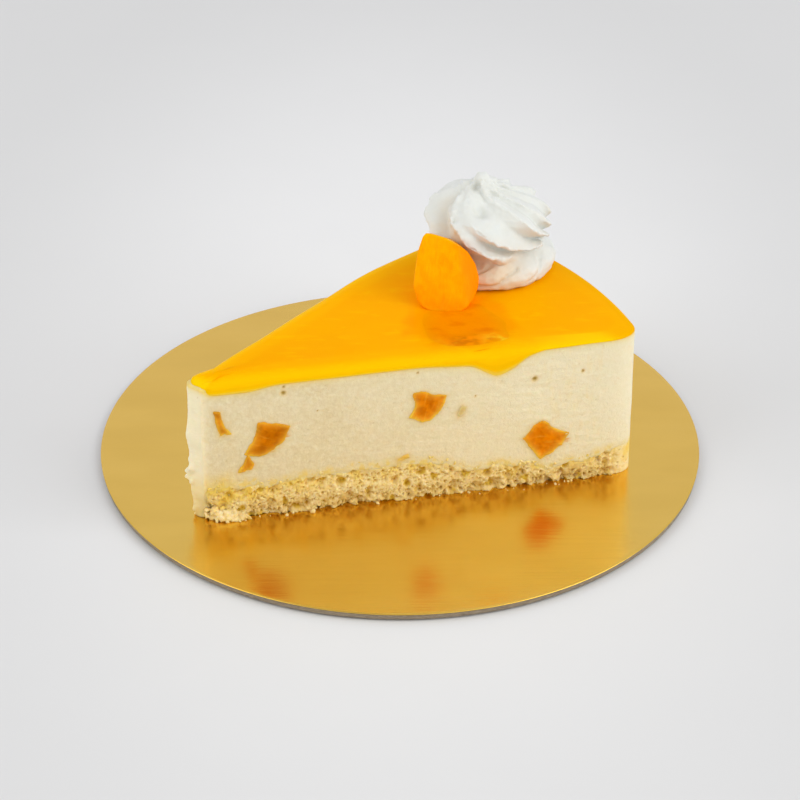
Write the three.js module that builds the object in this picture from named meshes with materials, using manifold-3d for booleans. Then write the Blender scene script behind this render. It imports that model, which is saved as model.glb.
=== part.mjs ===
// A slice of mango cream mousse cake on its round gold card.
// Millimetres, +Z up. The origin is the middle of the card's underside.
// The slice's tip points to -X, and its near cut face looks to -Y.

import * as THREE from "three";
import { mergeVertices } from "three/addons/utils/BufferGeometryUtils.js";
import Module from "manifold-3d";

// The card
const CARD_RADIUS = 80;
const CARD_THICKNESS = 1.8;
const CARD_EDGE_ROUND = 0.25;
const CARD_SIDES = 96;

// The slice in plan: two cuts that meet at the apex, and the cake's outer rim
const APEX = new THREE.Vector2(-53.7, -40.5);
const NEAR_CUT_DEG = 11.8;
const NEAR_CUT_LENGTH = 107.5;
const BACK_CUT_DEG = 52.7;
const BACK_CUT_OUTWARD = 0.9;
const RIM_CENTRE = new THREE.Vector2(-43.8, -44.8);
const RIM_RADIUS = 109.6;
const RIM_FROM_DEG = 19;
const RIM_TO_DEG = 50;
const SLICE_MIDDLE = 66;

// How many corners each ring of a layer has, and how far in the layers' flat middles begin
const PLACES = 132;
const SPONGE_FLAT_INSET = 7;
const GLAZE_FLAT_INSET = 5;

// The range along the slice's middle line that rings close in on, and the most of the way that they may go
const SPINE_FROM = 9;
const SPINE_TO = 92;
const MOST_INWARD = 0.75;
const TIP_REACH = 14;

// Heights above the card
const GLAZE_TOP = 41.8;
const GLAZE_TOP_DROP_AT_TIP = 1.4;
const GLAZE_UNDERSIDE = 39;
const GLAZE_PROUD = 0.5;
const GLAZE_EDGE_BACK = 38.5;
const GLAZE_EDGE_RIM = 41.2;
const SPONGE_MIDDLE = 9.5;
const SPONGE_TOP_BACK = 9.2;
const SPONGE_TOP_RIM = 8.3;
const GAP = 0.3;

// How far a piece of fruit is drawn out past its cut face before the face trims it
const FACE_CLEARANCE = 2;

// Sponge crumb on the cut faces
const CRUMB_RELIEF = 0.75;
const CRUMB_LEVELS = 5;
const MOUSSE_RELIEF = 0.12;
const MOUSSE_LEVELS = 4;

// The height of the sponge's top along the near cut, as [x, height]
const SPONGE_TOP_NEAR = [
  [-50, 5.1],
  [-44, 8],
  [-38, 9.7],
  [-10, 11.3],
  [0, 11.8],
  [10, 10.4],
  [18, 8.1],
  [34, 6.6],
  [38, 4.9],
  [42, 6.1],
  [60, 8.1],
];

// The glaze's lower edge along the near cut: it runs down in one drip at x = 25, then thins out
const GLAZE_EDGE_NEAR = [
  [-52, 39.2],
  [-48, 37.6],
  [-39, 37.6],
  [-30, 38.9],
  [4, 39.3],
  [18, 38.3],
  [22.5, 35.6],
  [24.8, 34.9],
  [27, 35.6],
  [34.4, 39.9],
  [37, 40.8],
  [52, 41.3],
];

// Mango pieces cut through by the near face: outlines as [distance from the apex, height], and depth inwards
const NEAR_FRUIT = [
  { depth: 5, outline: [[6.9, 33.1], [8.6, 32.6], [9.5, 28.6], [11.2, 26], [8.2, 25.5]] },
  {
    depth: 8,
    outline: [
      ...[[15.7, 20], [18.5, 18.4], [22.4, 19.7], [24.8, 22.4]],
      ...[[26.4, 26.4], [22.8, 27.5], [18.2, 28.4], [17.1, 23.4]],
    ],
  },
  { depth: 4, outline: [[12.7, 14], [16.1, 14.8], [16.9, 16.2], [15.1, 18]] },
  {
    depth: 8,
    outline: [
      ...[[57.4, 24.9], [60.6, 23.2], [62.7, 23.3], [65.3, 26], [67.1, 30.5]],
      ...[[63.2, 31.3], [61.1, 32.5], [58.3, 32.2], [58.8, 28]],
    ],
  },
  { depth: 3, outline: [[70.1, 23.5], [71.4, 24], [72.2, 26.3], [71.1, 27], [69.8, 24.8]] },
  {
    depth: 8,
    outline: [
      ...[[87.2, 14.9], [92.2, 7.8], [95.1, 9.6], [98.2, 12]],
      ...[[99, 14.9], [95.4, 17.2], [92.4, 20.1], [90.3, 18.8]],
    ],
  },
  { depth: 2.5, outline: [[54.1, 11.9], [57.3, 12.9], [57, 14.1], [54.1, 13]] },
];

// The same on the back face, where pieces of the same kind are cut through
const BACK_FRUIT = [
  { depth: 6, outline: [[20, 27], [24.5, 25.5], [26.5, 29.5], [23, 33], [19.5, 31]] },
  { depth: 7, outline: [[38, 15.5], [44.5, 14.5], [46.5, 19], [42, 22.5], [38.5, 20.5]] },
  { depth: 5, outline: [[58, 28], [62.5, 27], [64.5, 30.5], [60.5, 33.5]] },
];

// The whipped cream rosette: a star-nozzle swirl that stands on a plain first turn
const CREAM_CENTRE = new THREE.Vector2(23.8, 23);
const CREAM_RIDGES = 7;
const CREAM_SIDES_PER_RIDGE = 12;
const CREAM_RIDGE_DEPTH = 0.2;
const CREAM_TWIST_DEG_PER_MM = -6.6;
const CREAM_FIRST_RIDGE_DEG = -38;
const CREAM_RIDGE_HEIGHT = 6;
const CREAM_LEAN = -2.2;

// The rosette's radius over its ridges at each height above the glaze
const CREAM_PROFILE = [
  [0, 15.8],
  [1.4, 17.2],
  [3.6, 17.3],
  [5.4, 15.9],
  [7, 16.9],
  [9, 17.6],
  [11.5, 17.7],
  [14, 17.2],
  [16.2, 16],
  [18.2, 14.2],
  [19.8, 12],
  [21, 9.4],
  [22.2, 6.4],
  [23.6, 4],
  [25, 2.3],
  [26, 1],
];

// The loose piece of mango that leans back on the rosette, seen square on as [across, up]
const TOPPING_FOOT = new THREE.Vector2(12.6, -3.6);
const TOPPING_TURN_DEG = -13;
const TOPPING_LEAN_DEG = 30;
const TOPPING_THICKNESS = 11;
const TOPPING_ROUND = 1.8;
const TOPPING_CLEAR_OF_GLAZE = 0.1;
const TOPPING_OUTLINE = [
  [-9.3, 5],
  [-5.5, 0.8],
  [-0.5, -0.4],
  [4.7, 0.6],
  [7.1, 6],
  [6.6, 11.3],
  [3.2, 15.8],
  [-1.3, 18.2],
  [-8, 19.6],
  [-10.1, 10],
];

const wasm = await Module();
wasm.setup();

const rad = THREE.MathUtils.degToRad;

// A point in plan, at a distance and direction from a centre
function polar(centre, distance, degrees) {
  const direction = new THREE.Vector2(Math.cos(rad(degrees)), Math.sin(rad(degrees)));
  return direction.multiplyScalar(distance).add(centre);
}

// The value of a table of [place, value] rows at x, eased between rows
function along(table, x) {
  if (x <= table[0][0]) return table[0][1];
  for (let row = 1; row < table.length; row++) {
    const [x0, v0] = table[row - 1];
    const [x1, v1] = table[row];
    if (x <= x1) return THREE.MathUtils.lerp(v0, v1, THREE.MathUtils.smoothstep(x, x0, x1));
  }
  return table[table.length - 1][1];
}

// A repeatable roughness from -1 to 1 for a place and a level
function rough(place, level) {
  const seed = Math.sin(place * 12.9898 + level * 78.233) * 43758.5453;
  return 2 * (seed - Math.floor(seed)) - 1;
}

// The slice's outline in plan, anticlockwise: near cut, corner, rim, back corner, back cut and blunt tip
function sliceOutline() {
  const shape = new THREE.Shape();
  const nearEnd = polar(APEX, NEAR_CUT_LENGTH, NEAR_CUT_DEG);
  const rimStart = polar(RIM_CENTRE, RIM_RADIUS, RIM_FROM_DEG);
  const tipNear = new THREE.Vector2(-50.2, -39.6);
  shape.moveTo(tipNear.x, tipNear.y);
  shape.lineTo(nearEnd.x, nearEnd.y);
  shape.quadraticCurveTo(62.8, -16.2, rimStart.x, rimStart.y);
  shape.absarc(RIM_CENTRE.x, RIM_CENTRE.y, RIM_RADIUS, rad(RIM_FROM_DEG), rad(RIM_TO_DEG), false);
  shape.quadraticCurveTo(21, 44.8, 17.4, 42);
  shape.lineTo(2.2, 29.3);
  const backCorner = polar(APEX, BACK_CUT_OUTWARD, BACK_CUT_DEG + 90);
  const bend = polar(backCorner, 75.5, BACK_CUT_DEG);
  const bendEnd = polar(backCorner, 61.5, BACK_CUT_DEG);
  shape.quadraticCurveTo(bend.x, bend.y, bendEnd.x, bendEnd.y);
  const tipBack = polar(backCorner, 12, BACK_CUT_DEG);
  shape.lineTo(tipBack.x, tipBack.y);
  shape.splineThru([
    new THREE.Vector2(-50.9, -32.4),
    new THREE.Vector2(-53.1, -34.4),
    new THREE.Vector2(-53.2, -37.2),
    tipNear,
  ]);
  return shape;
}

// Every place round the outline: where it is, which way is in, and whether a knife cut it
function slicePlaces() {
  const shape = sliceOutline();
  const lengths = shape.getCurveLengths();
  const total = shape.getLength();
  const points = shape.getSpacedPoints(PLACES).slice(0, PLACES);
  const middle = rad((NEAR_CUT_DEG + BACK_CUT_DEG) / 2);
  const spine = new THREE.Vector2(Math.cos(middle), Math.sin(middle));
  const [nearCutEnd, , , rimEnd] = lengths;
  return points.map((point, place) => {
    const run = (place / PLACES) * total;
    const onSpine = THREE.MathUtils.clamp(point.clone().sub(APEX).dot(spine), SPINE_FROM, SPINE_TO);
    const target = spine.clone().multiplyScalar(onSpine).add(APEX);
    const before = points[(place + PLACES - 1) % PLACES];
    const after = points[(place + 1) % PLACES];
    const tangent = after.clone().sub(before).normalize();
    return {
      point,
      run,
      near: run <= nearCutEnd,
      rim: run > nearCutEnd && run <= rimEnd ? 1 : 0,
      outward: new THREE.Vector2(tangent.y, -tangent.x),
      inward: target.clone().sub(point),
      tip: 1 - THREE.MathUtils.smoothstep(point.distanceTo(APEX), 0, TIP_REACH),
    };
  });
}

const places = slicePlaces();

// Heights of the two layer boundaries at a place on the outline
function spongeTop({ point, run, near, rim }) {
  if (near) return along(SPONGE_TOP_NEAR, point.x);
  if (rim) return SPONGE_TOP_RIM;
  return SPONGE_TOP_BACK + 0.9 * Math.sin(run * 0.11) + 0.6 * Math.sin(run * 0.29 + 1);
}

function glazeEdge({ point, run, near, rim, tip }) {
  if (near) return along(GLAZE_EDGE_NEAR, point.x);
  if (rim) return GLAZE_EDGE_RIM;
  return GLAZE_EDGE_BACK + 0.5 * Math.sin(run * 0.09 + 2) + 0.35 * Math.sin(run * 0.23) + 0.5 * tip;
}

function glazeTop({ tip }) {
  return GLAZE_TOP - GLAZE_TOP_DROP_AT_TIP * tip;
}

// The corner of a ring: a place moved in by a distance, never past the middle of a narrow tip
function cornerAt(place, inset, height) {
  const { point, outward, inward } = places[place];
  if (inset <= 0) {
    return new THREE.Vector3(point.x - outward.x * inset, point.y - outward.y * inset, height);
  }
  const share = Math.min(inset / inward.length(), MOST_INWARD);
  return new THREE.Vector3(point.x + inward.x * share, point.y + inward.y * share, height);
}

// A closed skin of rings. Its first and last levels are single points, and pointAt places every corner.
function rings(sides, levels, pointAt) {
  const profile = Array.from(
    { length: levels },
    (_, level) => new THREE.Vector2(level === 0 || level === levels - 1 ? 0 : 1, level),
  );
  const geometry = new THREE.LatheGeometry(profile, sides);
  const position = geometry.getAttribute("position");
  for (let side = 0; side <= sides; side++) {
    for (let level = 0; level < levels; level++) {
      const corner = pointAt(side % sides, level);
      position.setXYZ(side * levels + level, corner.x, corner.y, corner.z);
    }
  }
  return geometry;
}

// Splits each four-cornered patch on its other diagonal, so that a layer creases like its neighbours
function otherDiagonal(geometry) {
  const index = geometry.getIndex();
  for (let patch = 0; patch < index.count; patch += 6) {
    const [a, b, d, c] = [0, 1, 2, 3].map((corner) => index.getX(patch + corner));
    [a, b, c, a, c, d].forEach((vertex, corner) => index.setX(patch + corner, vertex));
  }
  return geometry;
}

// A layer of the slice from its list of rings, each a function that gives [inset, height] at a place
function layer(bottom, ringList, top) {
  const middle = polar(APEX, SLICE_MIDDLE, (NEAR_CUT_DEG + BACK_CUT_DEG) / 2);
  return rings(PLACES, ringList.length + 2, (place, level) => {
    if (level === 0) return new THREE.Vector3(middle.x, middle.y, bottom);
    if (level === ringList.length + 1) return new THREE.Vector3(middle.x, middle.y, top);
    const [inset, height] = ringList[level - 1](places[place], place);
    return cornerAt(place, inset, height);
  });
}

// Sponge: crumbly where it was cut, smooth where the cake ring moulded it
function spongeGeometry() {
  const side = Array.from({ length: CRUMB_LEVELS }, (_, level) => (at, place) => {
    const share = level / (CRUMB_LEVELS - 1);
    const crumb = share < 1 ? CRUMB_RELIEF * (1 - at.rim) * rough(place, level) : 0;
    return [crumb, share * spongeTop(at)];
  });
  return layer(0, [...side, () => [SPONGE_FLAT_INSET, SPONGE_MIDDLE]], SPONGE_MIDDLE);
}

// Mousse: its two cut faces are faintly uneven, and it fills the space between sponge and glaze
function mousseGeometry() {
  const bottom = (at) => spongeTop(at) + GAP;
  const top = (at) => glazeEdge(at) - GAP;
  const side = Array.from({ length: MOUSSE_LEVELS }, (_, level) => (at, place) => {
    const drag = MOUSSE_RELIEF * (1 - at.rim) * rough(place, CRUMB_LEVELS + level);
    return [drag, THREE.MathUtils.lerp(bottom(at), top(at), level / (MOUSSE_LEVELS - 1))];
  });
  const underside = () => [SPONGE_FLAT_INSET, SPONGE_MIDDLE + GAP];
  const crown = () => [GLAZE_FLAT_INSET, GLAZE_UNDERSIDE - GAP];
  return otherDiagonal(layer(SPONGE_MIDDLE + GAP, [underside, ...side, crown], GLAZE_UNDERSIDE - GAP));
}

// Glaze: a skin with a soft rounded shoulder, a little proud of the mousse on the cut faces.
// The shoulder is [inset, share of the height from the glaze's edge to its top].
function glazeGeometry() {
  const shoulder = [
    [0, 0],
    [-GLAZE_PROUD, 0.3],
    [-GLAZE_PROUD * 0.6, 0.66],
    [0.8, 0.9],
    [2.4, 0.985],
    [GLAZE_FLAT_INSET, 1],
  ];
  const underside = () => [GLAZE_FLAT_INSET, GLAZE_UNDERSIDE];
  const side = shoulder.map(([inset, share]) => (at) => {
    const flush = at.rim ? Math.max(inset, 0) : inset;
    return [flush, THREE.MathUtils.lerp(glazeEdge(at), glazeTop(at), share)];
  });
  return layer(GLAZE_UNDERSIDE, [underside, ...side], GLAZE_TOP);
}

// A closed mesh as a solid that can be cut and joined, and back
function solidOf(geometry) {
  const bare = geometry.clone();
  bare.deleteAttribute("normal");
  bare.deleteAttribute("uv");
  const merged = mergeVertices(bare, 1e-4);
  const vertProperties = new Float32Array(merged.getAttribute("position").array);
  const triVerts = new Uint32Array(merged.index.array);
  return new wasm.Manifold(new wasm.Mesh({ numProp: 3, vertProperties, triVerts }));
}

function geometryOf(solid) {
  const mesh = solid.getMesh();
  const geometry = new THREE.BufferGeometry();
  geometry.setAttribute("position", new THREE.BufferAttribute(mesh.vertProperties, 3));
  geometry.setIndex(new THREE.BufferAttribute(mesh.triVerts, 1));
  return geometry;
}

function shapeOf(outline) {
  return new THREE.Shape(outline.map(([x, y]) => new THREE.Vector2(x, y)));
}

// A block of fruit that runs in from a cut face, or the slightly larger pocket that it lies in.
// Its drawing plane is the face: distance from the apex, and height.
function fruitBlock({ outline, depth }, face, grow) {
  const along = new THREE.Vector3(Math.cos(rad(face.degrees)), Math.sin(rad(face.degrees)), 0);
  const up = new THREE.Vector3(0, 0, 1);
  const frame = new THREE.Matrix4().makeBasis(along, up, along.clone().cross(up));
  frame.setPosition(APEX.x, APEX.y, 0);
  const geometry = new THREE.ExtrudeGeometry(shapeOf(outline), {
    depth: depth + FACE_CLEARANCE,
    steps: 1,
    bevelEnabled: grow > 0,
    bevelThickness: grow,
    bevelSize: grow,
    bevelSegments: 1,
  });
  geometry.translate(0, 0, face.near ? -depth : -FACE_CLEARANCE);
  return solidOf(geometry.applyMatrix4(frame));
}

// How far the rosette's ridges have turned at a height: they climb clockwise
function creamTurn(height) {
  return rad(CREAM_FIRST_RIDGE_DEG + CREAM_TWIST_DEG_PER_MM * (height - CREAM_RIDGE_HEIGHT));
}

// The rosette's radius at a height, across is 0 on a ridge and half a turn in the groove beside it
function creamRadius(across, height) {
  const ridged = THREE.MathUtils.smoothstep(height, CREAM_RIDGE_HEIGHT - 2.5, CREAM_RIDGE_HEIGHT + 1.5);
  const bulge = 1 - Math.abs(Math.sin(across / 2)) ** 1.5;
  return along(CREAM_PROFILE, height) * (1 - CREAM_RIDGE_DEPTH * ridged * (1 - bulge));
}

function creamGeometry() {
  const sides = CREAM_RIDGES * CREAM_SIDES_PER_RIDGE;
  const top = CREAM_PROFILE[CREAM_PROFILE.length - 1][0];
  return rings(sides, CREAM_PROFILE.length + 2, (side, level) => {
    const last = level === CREAM_PROFILE.length + 1;
    const height = last ? top : CREAM_PROFILE[Math.max(level - 1, 0)][0];
    const across = (side / CREAM_SIDES_PER_RIDGE) * 2 * Math.PI;
    const angle = (side / sides) * 2 * Math.PI + creamTurn(height);
    const radius = level === 0 || last ? 0 : creamRadius(across, height);
    const lean = CREAM_LEAN * (height / top) ** 2;
    return new THREE.Vector3(
      CREAM_CENTRE.x + lean + radius * Math.cos(angle),
      CREAM_CENTRE.y + radius * Math.sin(angle),
      GLAZE_TOP + height,
    );
  });
}

// The leaning piece of mango, its foot cut level so that it stands on the glaze
function toppingSolid(grow) {
  const curve = new THREE.Shape();
  const points = TOPPING_OUTLINE.map(([x, y]) => new THREE.Vector2(x, y));
  curve.moveTo(points[0].x, points[0].y);
  curve.splineThru([...points.slice(1), points[0]]);
  const geometry = new THREE.ExtrudeGeometry(new THREE.Shape(curve.getSpacedPoints(28).slice(0, 28)), {
    depth: TOPPING_THICKNESS - 2 * TOPPING_ROUND,
    steps: 2,
    bevelThickness: TOPPING_ROUND + grow,
    bevelSize: TOPPING_ROUND,
    bevelOffset: grow - TOPPING_ROUND,
    bevelSegments: 2,
  });
  geometry.translate(0, 0, TOPPING_ROUND - TOPPING_THICKNESS);
  geometry.rotateX(rad(90 - TOPPING_LEAN_DEG));
  geometry.rotateZ(rad(TOPPING_TURN_DEG));
  geometry.translate(TOPPING_FOOT.x, TOPPING_FOOT.y, GLAZE_TOP);
  const ground = new THREE.BoxGeometry(100, 100, 40);
  ground.translate(TOPPING_FOOT.x, TOPPING_FOOT.y, GLAZE_TOP - 20 + TOPPING_CLEAR_OF_GLAZE);
  return solidOf(geometry).subtract(solidOf(ground));
}

function cardGeometry() {
  const profile = [
    [0, 0],
    [CARD_RADIUS - CARD_EDGE_ROUND, 0],
    [CARD_RADIUS, CARD_EDGE_ROUND],
    [CARD_RADIUS, CARD_THICKNESS - CARD_EDGE_ROUND],
    [CARD_RADIUS - CARD_EDGE_ROUND, CARD_THICKNESS],
    [0, CARD_THICKNESS],
  ];
  const turned = new THREE.LatheGeometry(
    profile.map(([radius, height]) => new THREE.Vector2(radius, height)),
    CARD_SIDES,
  );
  return turned.rotateX(Math.PI / 2);
}

const MATERIALS = {
  card: { color: "#c99a3c", roughness: 0.3, metalness: 0.9 },
  sponge: { color: "#e8cf86", roughness: 0.95, metalness: 0 },
  mousse: { color: "#f1e2bd", roughness: 0.6, metalness: 0 },
  glaze: { color: "#ffb400", roughness: 0.12, metalness: 0 },
  mango: { color: "#e88a00", roughness: 0.3, metalness: 0 },
  cream: { color: "#f6f3ec", roughness: 0.55, metalness: 0 },
};

const looks = Object.fromEntries(
  Object.entries(MATERIALS).map(([name, values]) => [name, new THREE.MeshStandardMaterial(values)]),
);

function piece(name, geometry, look) {
  const mesh = new THREE.Mesh(geometry, looks[look]);
  mesh.name = name;
  return mesh;
}

// The slice is built from the card's top up
function slice() {
  const group = new THREE.Group();
  const whole = solidOf(mousseGeometry());
  let mousse = whole;
  const faces = [
    { degrees: NEAR_CUT_DEG, near: true, fruits: NEAR_FRUIT },
    { degrees: BACK_CUT_DEG, near: false, fruits: BACK_FRUIT },
  ];
  for (const face of faces) {
    face.fruits.forEach((fruit, number) => {
      const name = `mango_${face.near ? "near" : "back"}_${number + 1}`;
      group.add(piece(name, geometryOf(whole.intersect(fruitBlock(fruit, face, 0))), "mango"));
      mousse = mousse.subtract(fruitBlock(fruit, face, GAP));
    });
  }
  group.add(piece("sponge", spongeGeometry(), "sponge"));
  group.add(piece("mousse", geometryOf(mousse), "mousse"));
  group.add(piece("glaze", glazeGeometry(), "glaze"));
  const cream = solidOf(creamGeometry()).subtract(toppingSolid(GAP));
  group.add(piece("cream_rosette", geometryOf(cream), "cream"));
  group.add(piece("mango_topping", geometryOf(toppingSolid(0)), "mango"));
  group.position.z = CARD_THICKNESS;
  return group;
}

const pastry = new THREE.Group();
pastry.add(piece("card", cardGeometry(), "card"));
pastry.add(slice());

export default pastry;
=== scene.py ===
import math

import bmesh
import bpy
import numpy as np
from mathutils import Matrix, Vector


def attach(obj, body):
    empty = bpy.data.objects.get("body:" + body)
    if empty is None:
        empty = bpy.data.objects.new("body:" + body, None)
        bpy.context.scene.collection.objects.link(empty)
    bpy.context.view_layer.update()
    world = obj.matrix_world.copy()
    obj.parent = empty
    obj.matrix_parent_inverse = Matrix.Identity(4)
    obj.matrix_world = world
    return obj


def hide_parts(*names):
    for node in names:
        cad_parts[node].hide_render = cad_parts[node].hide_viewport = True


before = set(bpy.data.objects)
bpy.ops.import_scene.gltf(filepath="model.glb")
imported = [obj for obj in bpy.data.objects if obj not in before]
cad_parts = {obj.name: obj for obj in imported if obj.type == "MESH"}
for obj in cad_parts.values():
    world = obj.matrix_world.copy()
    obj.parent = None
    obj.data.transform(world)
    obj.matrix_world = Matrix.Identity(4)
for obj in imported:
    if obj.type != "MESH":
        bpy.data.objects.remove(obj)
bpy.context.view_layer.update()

# Millimetres are used for the shapes, and metres for what Blender gets
MM = 0.001

# The camera: where it stands in metres, how far it looks down, and its lens and sensor in millimetres
CAMERA_AT = (0, -0.6752, 0.431)
CAMERA_DOWN_DEG = 31.68
CAMERA_LENS = 134.19
CAMERA_SENSOR = 36

# The card, and its two profiles as [distance in from its edge, height]: the foil's from the card's top down
CARD_RADIUS = 80
CARD_THICKNESS = 1.8
CARD_SIDES = 384
FOIL_THICKNESS = 0.22
FOIL_EDGE = [[0.5, 0.22], [0.12, 0.32], [0.02, 0.22], [0, 0.16], [0.04, 0.09], [0.16, 0.02], [0.4, 0]]
BOARD_PROFILE = [
    *[[70, 0], [20, 0], [0.55, 0], [0.3, 0.12], [0.22, 0.4]],
    *[[0.2, 0.8], [0.24, 1.2], [0.3, 1.48], [0.6, 1.56], [70, 1.56]],
]

# The slice in plan: two cuts that meet at the apex, and the cake's outer rim
APEX = np.array([-53.7, -40.5])
NEAR_CUT_DEG = 11.8
NEAR_CUT_LENGTH = 107.5
NEAR_CORNER = (62.8, -16.2)
BACK_CUT_DEG = 52.7
BACK_CUT_OUTWARD = 0.9
BACK_CUT_BEND = 75.5
BACK_CUT_STRAIGHT = (12, 61.5)
BACK_CORNER = [(21, 44.8), (17.4, 42), (2.2, 29.3)]
RIM_CENTRE = (-43.8, -44.8)
RIM_RADIUS = 109.6
RIM_FROM_DEG = 19
RIM_TO_DEG = 50
TIP_POINTS = [(-50.9, -32.4), (-53.1, -34.4), (-53.2, -37.2), (-50.2, -39.6)]
SPINE_ENDS = (9, 92)
SLICE_MIDDLE = 66
MOST_INWARD = 0.75
PLACE_STEP = 0.3
FINE_STEP = 0.18
CORNER_EASE = 1.2
CUT_EASE = 1.5
CUT_INTO_RIM = 4

# The tip: how far from the apex it reaches, where its nose and the nose's foot start and end, as distances
# behind the near cut, and how far the foot is drawn in
TIP_REACH = 14
NEAR_TIP = (8, 18)
NOSE_STARTS = (-2, 1)
NOSE_ENDS = (5, 9)
NOSE_FOOT_STARTS = (-8, -1)
NOSE_FOOT_ENDS = (4, 9)
NOSE_FOOT_INSET = 1.2
NOSE_CORNER_REACH = 2.6
NOSE_CORNER_INSET = 2.4

# Heights above the card
GLAZE_TOP = 41.8
GLAZE_TOP_DROP_AT_TIP = 1.4
GLAZE_UNDERSIDE = 39
GLAZE_EDGE_BACK = 38.5
GLAZE_EDGE_RIM = 41.2
NOSE_GLAZE_EDGE = 39.8
SPONGE_MIDDLE = 9.5
SPONGE_TOP_BACK = 9.2
SPONGE_TOP_RIM = 8.3
CRUMB_RISE_AT_TIP = 1.6

# How far in from the outline the layers' flat middles start, and the glaze at the nose
GLAZE_FLAT_INSET = 5
SPONGE_FLAT_INSET = 7
NOSE_GLAZE_INSET = 1.3

# Mousse smeared down over the sponge at the tip: how far it goes along the near cut, and fades along the back
SMEAR_NEAR = (-1.8, 0.8)
SMEAR_BACK = (9, 16)

# The height of the sponge's top along the near cut, as [x, height]
SPONGE_TOP_NEAR = [
    *[[-50, 7.4], [-44, 8.6], [-38, 9.7], [-10, 11.3], [0, 11.8], [10, 10.4]],
    *[[18, 8.1], [34, 6.6], [38, 4.9], [42, 6.1], [60, 8.1]],
]

# The glaze's lower edge along the near cut: it runs down in one drip at x = 25, then thins out
GLAZE_EDGE_NEAR = [
    *[[-52, 39.2], [-48, 37.6], [-39, 37.6], [-30, 38.9], [4, 39.3], [18, 38.3]],
    *[[22.5, 35.7], [24.8, 34], [27, 35.4], [34.4, 39.9], [37, 40.8], [52, 41.3]],
]

# The glaze's side, as [distance in from the outline, share of the way from its lower edge to its top]
GLAZE_SIDE = [
    *[[0.9, -0.1], [0.35, -0.045], [0, 0], [-0.15, 0.12], [-0.15, 0.3], [-0.06, 0.5]],
    *[[0.35, 0.69], [1.1, 0.83], [2.3, 0.93], [3.6, 0.985], [GLAZE_FLAT_INSET, 1]],
]

# Outlines of the mango pieces in the two cut faces, as [distance from the apex, height]
NEAR_FRUIT = [
    [[6.9, 33.1], [8.6, 32.6], [9.5, 28.6], [11.2, 26], [8.2, 25.5]],
    [
        *[[15.7, 20], [18.5, 18.4], [22.4, 19.7], [24.8, 22.4]],
        *[[26.4, 26.4], [22.8, 27.5], [18.2, 28.4], [17.1, 23.4]],
    ],
    [[12.7, 14], [16.1, 14.8], [16.9, 16.2], [15.1, 18]],
    [
        *[[57.4, 24.9], [60.6, 23.2], [62.7, 23.3], [65.3, 26], [67.1, 30.5]],
        *[[63.2, 31.3], [61.1, 32.5], [58.3, 32.2], [58.8, 28]],
    ],
    [[70.1, 23.5], [71.4, 24], [72.2, 26.3], [71.1, 27], [69.8, 24.8]],
    [
        *[[87.2, 14.9], [92.2, 7.8], [95.1, 9.6], [98.2, 12]],
        *[[99, 14.9], [95.4, 17.2], [92.4, 20.1], [90.3, 18.8]],
    ],
    [[54.1, 11.9], [57.3, 12.9], [57, 14.1], [54.1, 13]],
]
BACK_FRUIT = [
    [[20, 27], [24.5, 25.5], [26.5, 29.5], [23, 33], [19.5, 31]],
    [[38, 15.5], [44.5, 14.5], [46.5, 19], [42, 22.5], [38.5, 20.5]],
    [[58, 28], [62.5, 27], [64.5, 30.5], [60.5, 33.5]],
]

# Corners of cut pieces that are drawn out: the piece, the corner, how far it is pulled and what that reaches
FRUIT_PULLS = [
    ("mango_near_2", (15.7, 20), (-1.3, -0.7), 2.5),
    ("mango_near_3", (15.1, 18), (0.2, 0.9), 1.2),
    ("mango_near_6", (99, 14.9), (0.8, 0.2), 1.2),
    ("mango_back_1", (26.5, 29.5), (0.9, 0.9), 1.6),
    ("mango_back_1", (20, 27), (1.2, 0.5), 1.4),
    ("mango_back_2", (46.5, 19), (1.8, 0.6), 1.8),
    ("mango_back_2", (38, 15.5), (0.9, 0.7), 1.6),
    ("mango_back_3", (58, 28), (-1.3, -0.7), 1.8),
    ("mango_back_3", (60.5, 33.5), (-0.8, -0.9), 1.4),
]

# How the cut pieces look: pale flesh, deep flesh and edge. The darkest lie by the tip, and the two least ones
# under a skin of mousse
CUT_MANGO = ("cut_mango", (0.86, 0.25, 0.0), (0.58, 0.14, 0.0), (1.0, 0.66, 0.08), 0.07)
DARK_MANGO = ("dark_mango", (0.72, 0.215, 0.0), (0.44, 0.11, 0.0), (0.94, 0.56, 0.06), 0.07)
VEILED_MANGO = ("veiled_mango", (0.70, 0.47, 0.13), (0.56, 0.35, 0.07), (0.86, 0.71, 0.42), 0.05)
THIN_MANGO = ("thin_mango", (0.90, 0.50, 0.05), (0.82, 0.42, 0.03), (0.90, 0.64, 0.22), 0.05)
NEAR_LOOKS = [DARK_MANGO, DARK_MANGO, DARK_MANGO, CUT_MANGO, VEILED_MANGO, CUT_MANGO, THIN_MANGO]

# How far the knife dragged fruit along the faces, and how far the last near piece
STREAK_REACH = 2
LAST_STREAK_REACH = 8

# Lumps of mousse that the knife left round the tip, as [distance behind the near cut, height, reach, depth]
TIP_LUMPS = [
    *[[3.6, 15.6, 0.9, 1.2], [4.6, 14.1, 0.8, 1.6], [5.4, 12.3, 0.9, 1.6], [3.8, 11.1, 0.7, 0.8]],
    *[[4.6, 17.4, 0.9, 0.5], [4.2, 24.5, 3.4, 0.9], [2.2, 0.5, 1.2, 0.6], [5, 2, 1, 0.7]],
    *[[3.6, 3.4, 1.6, 0.4], [8, 19, 1.4, 0.5]],
]

# Air bubbles cut open by the near face, as [distance from the apex, height, radius]
NEAR_PORES = [
    *[[59.5, 38, 0.3], [90.2, 32.4, 0.65], [102.9, 33.3, 0.4], [24.9, 36.3, 0.6]],
    *[[25, 38.1, 0.35], [74.6, 29.3, 0.25], [33.5, 30, 0.2]],
]

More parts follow.
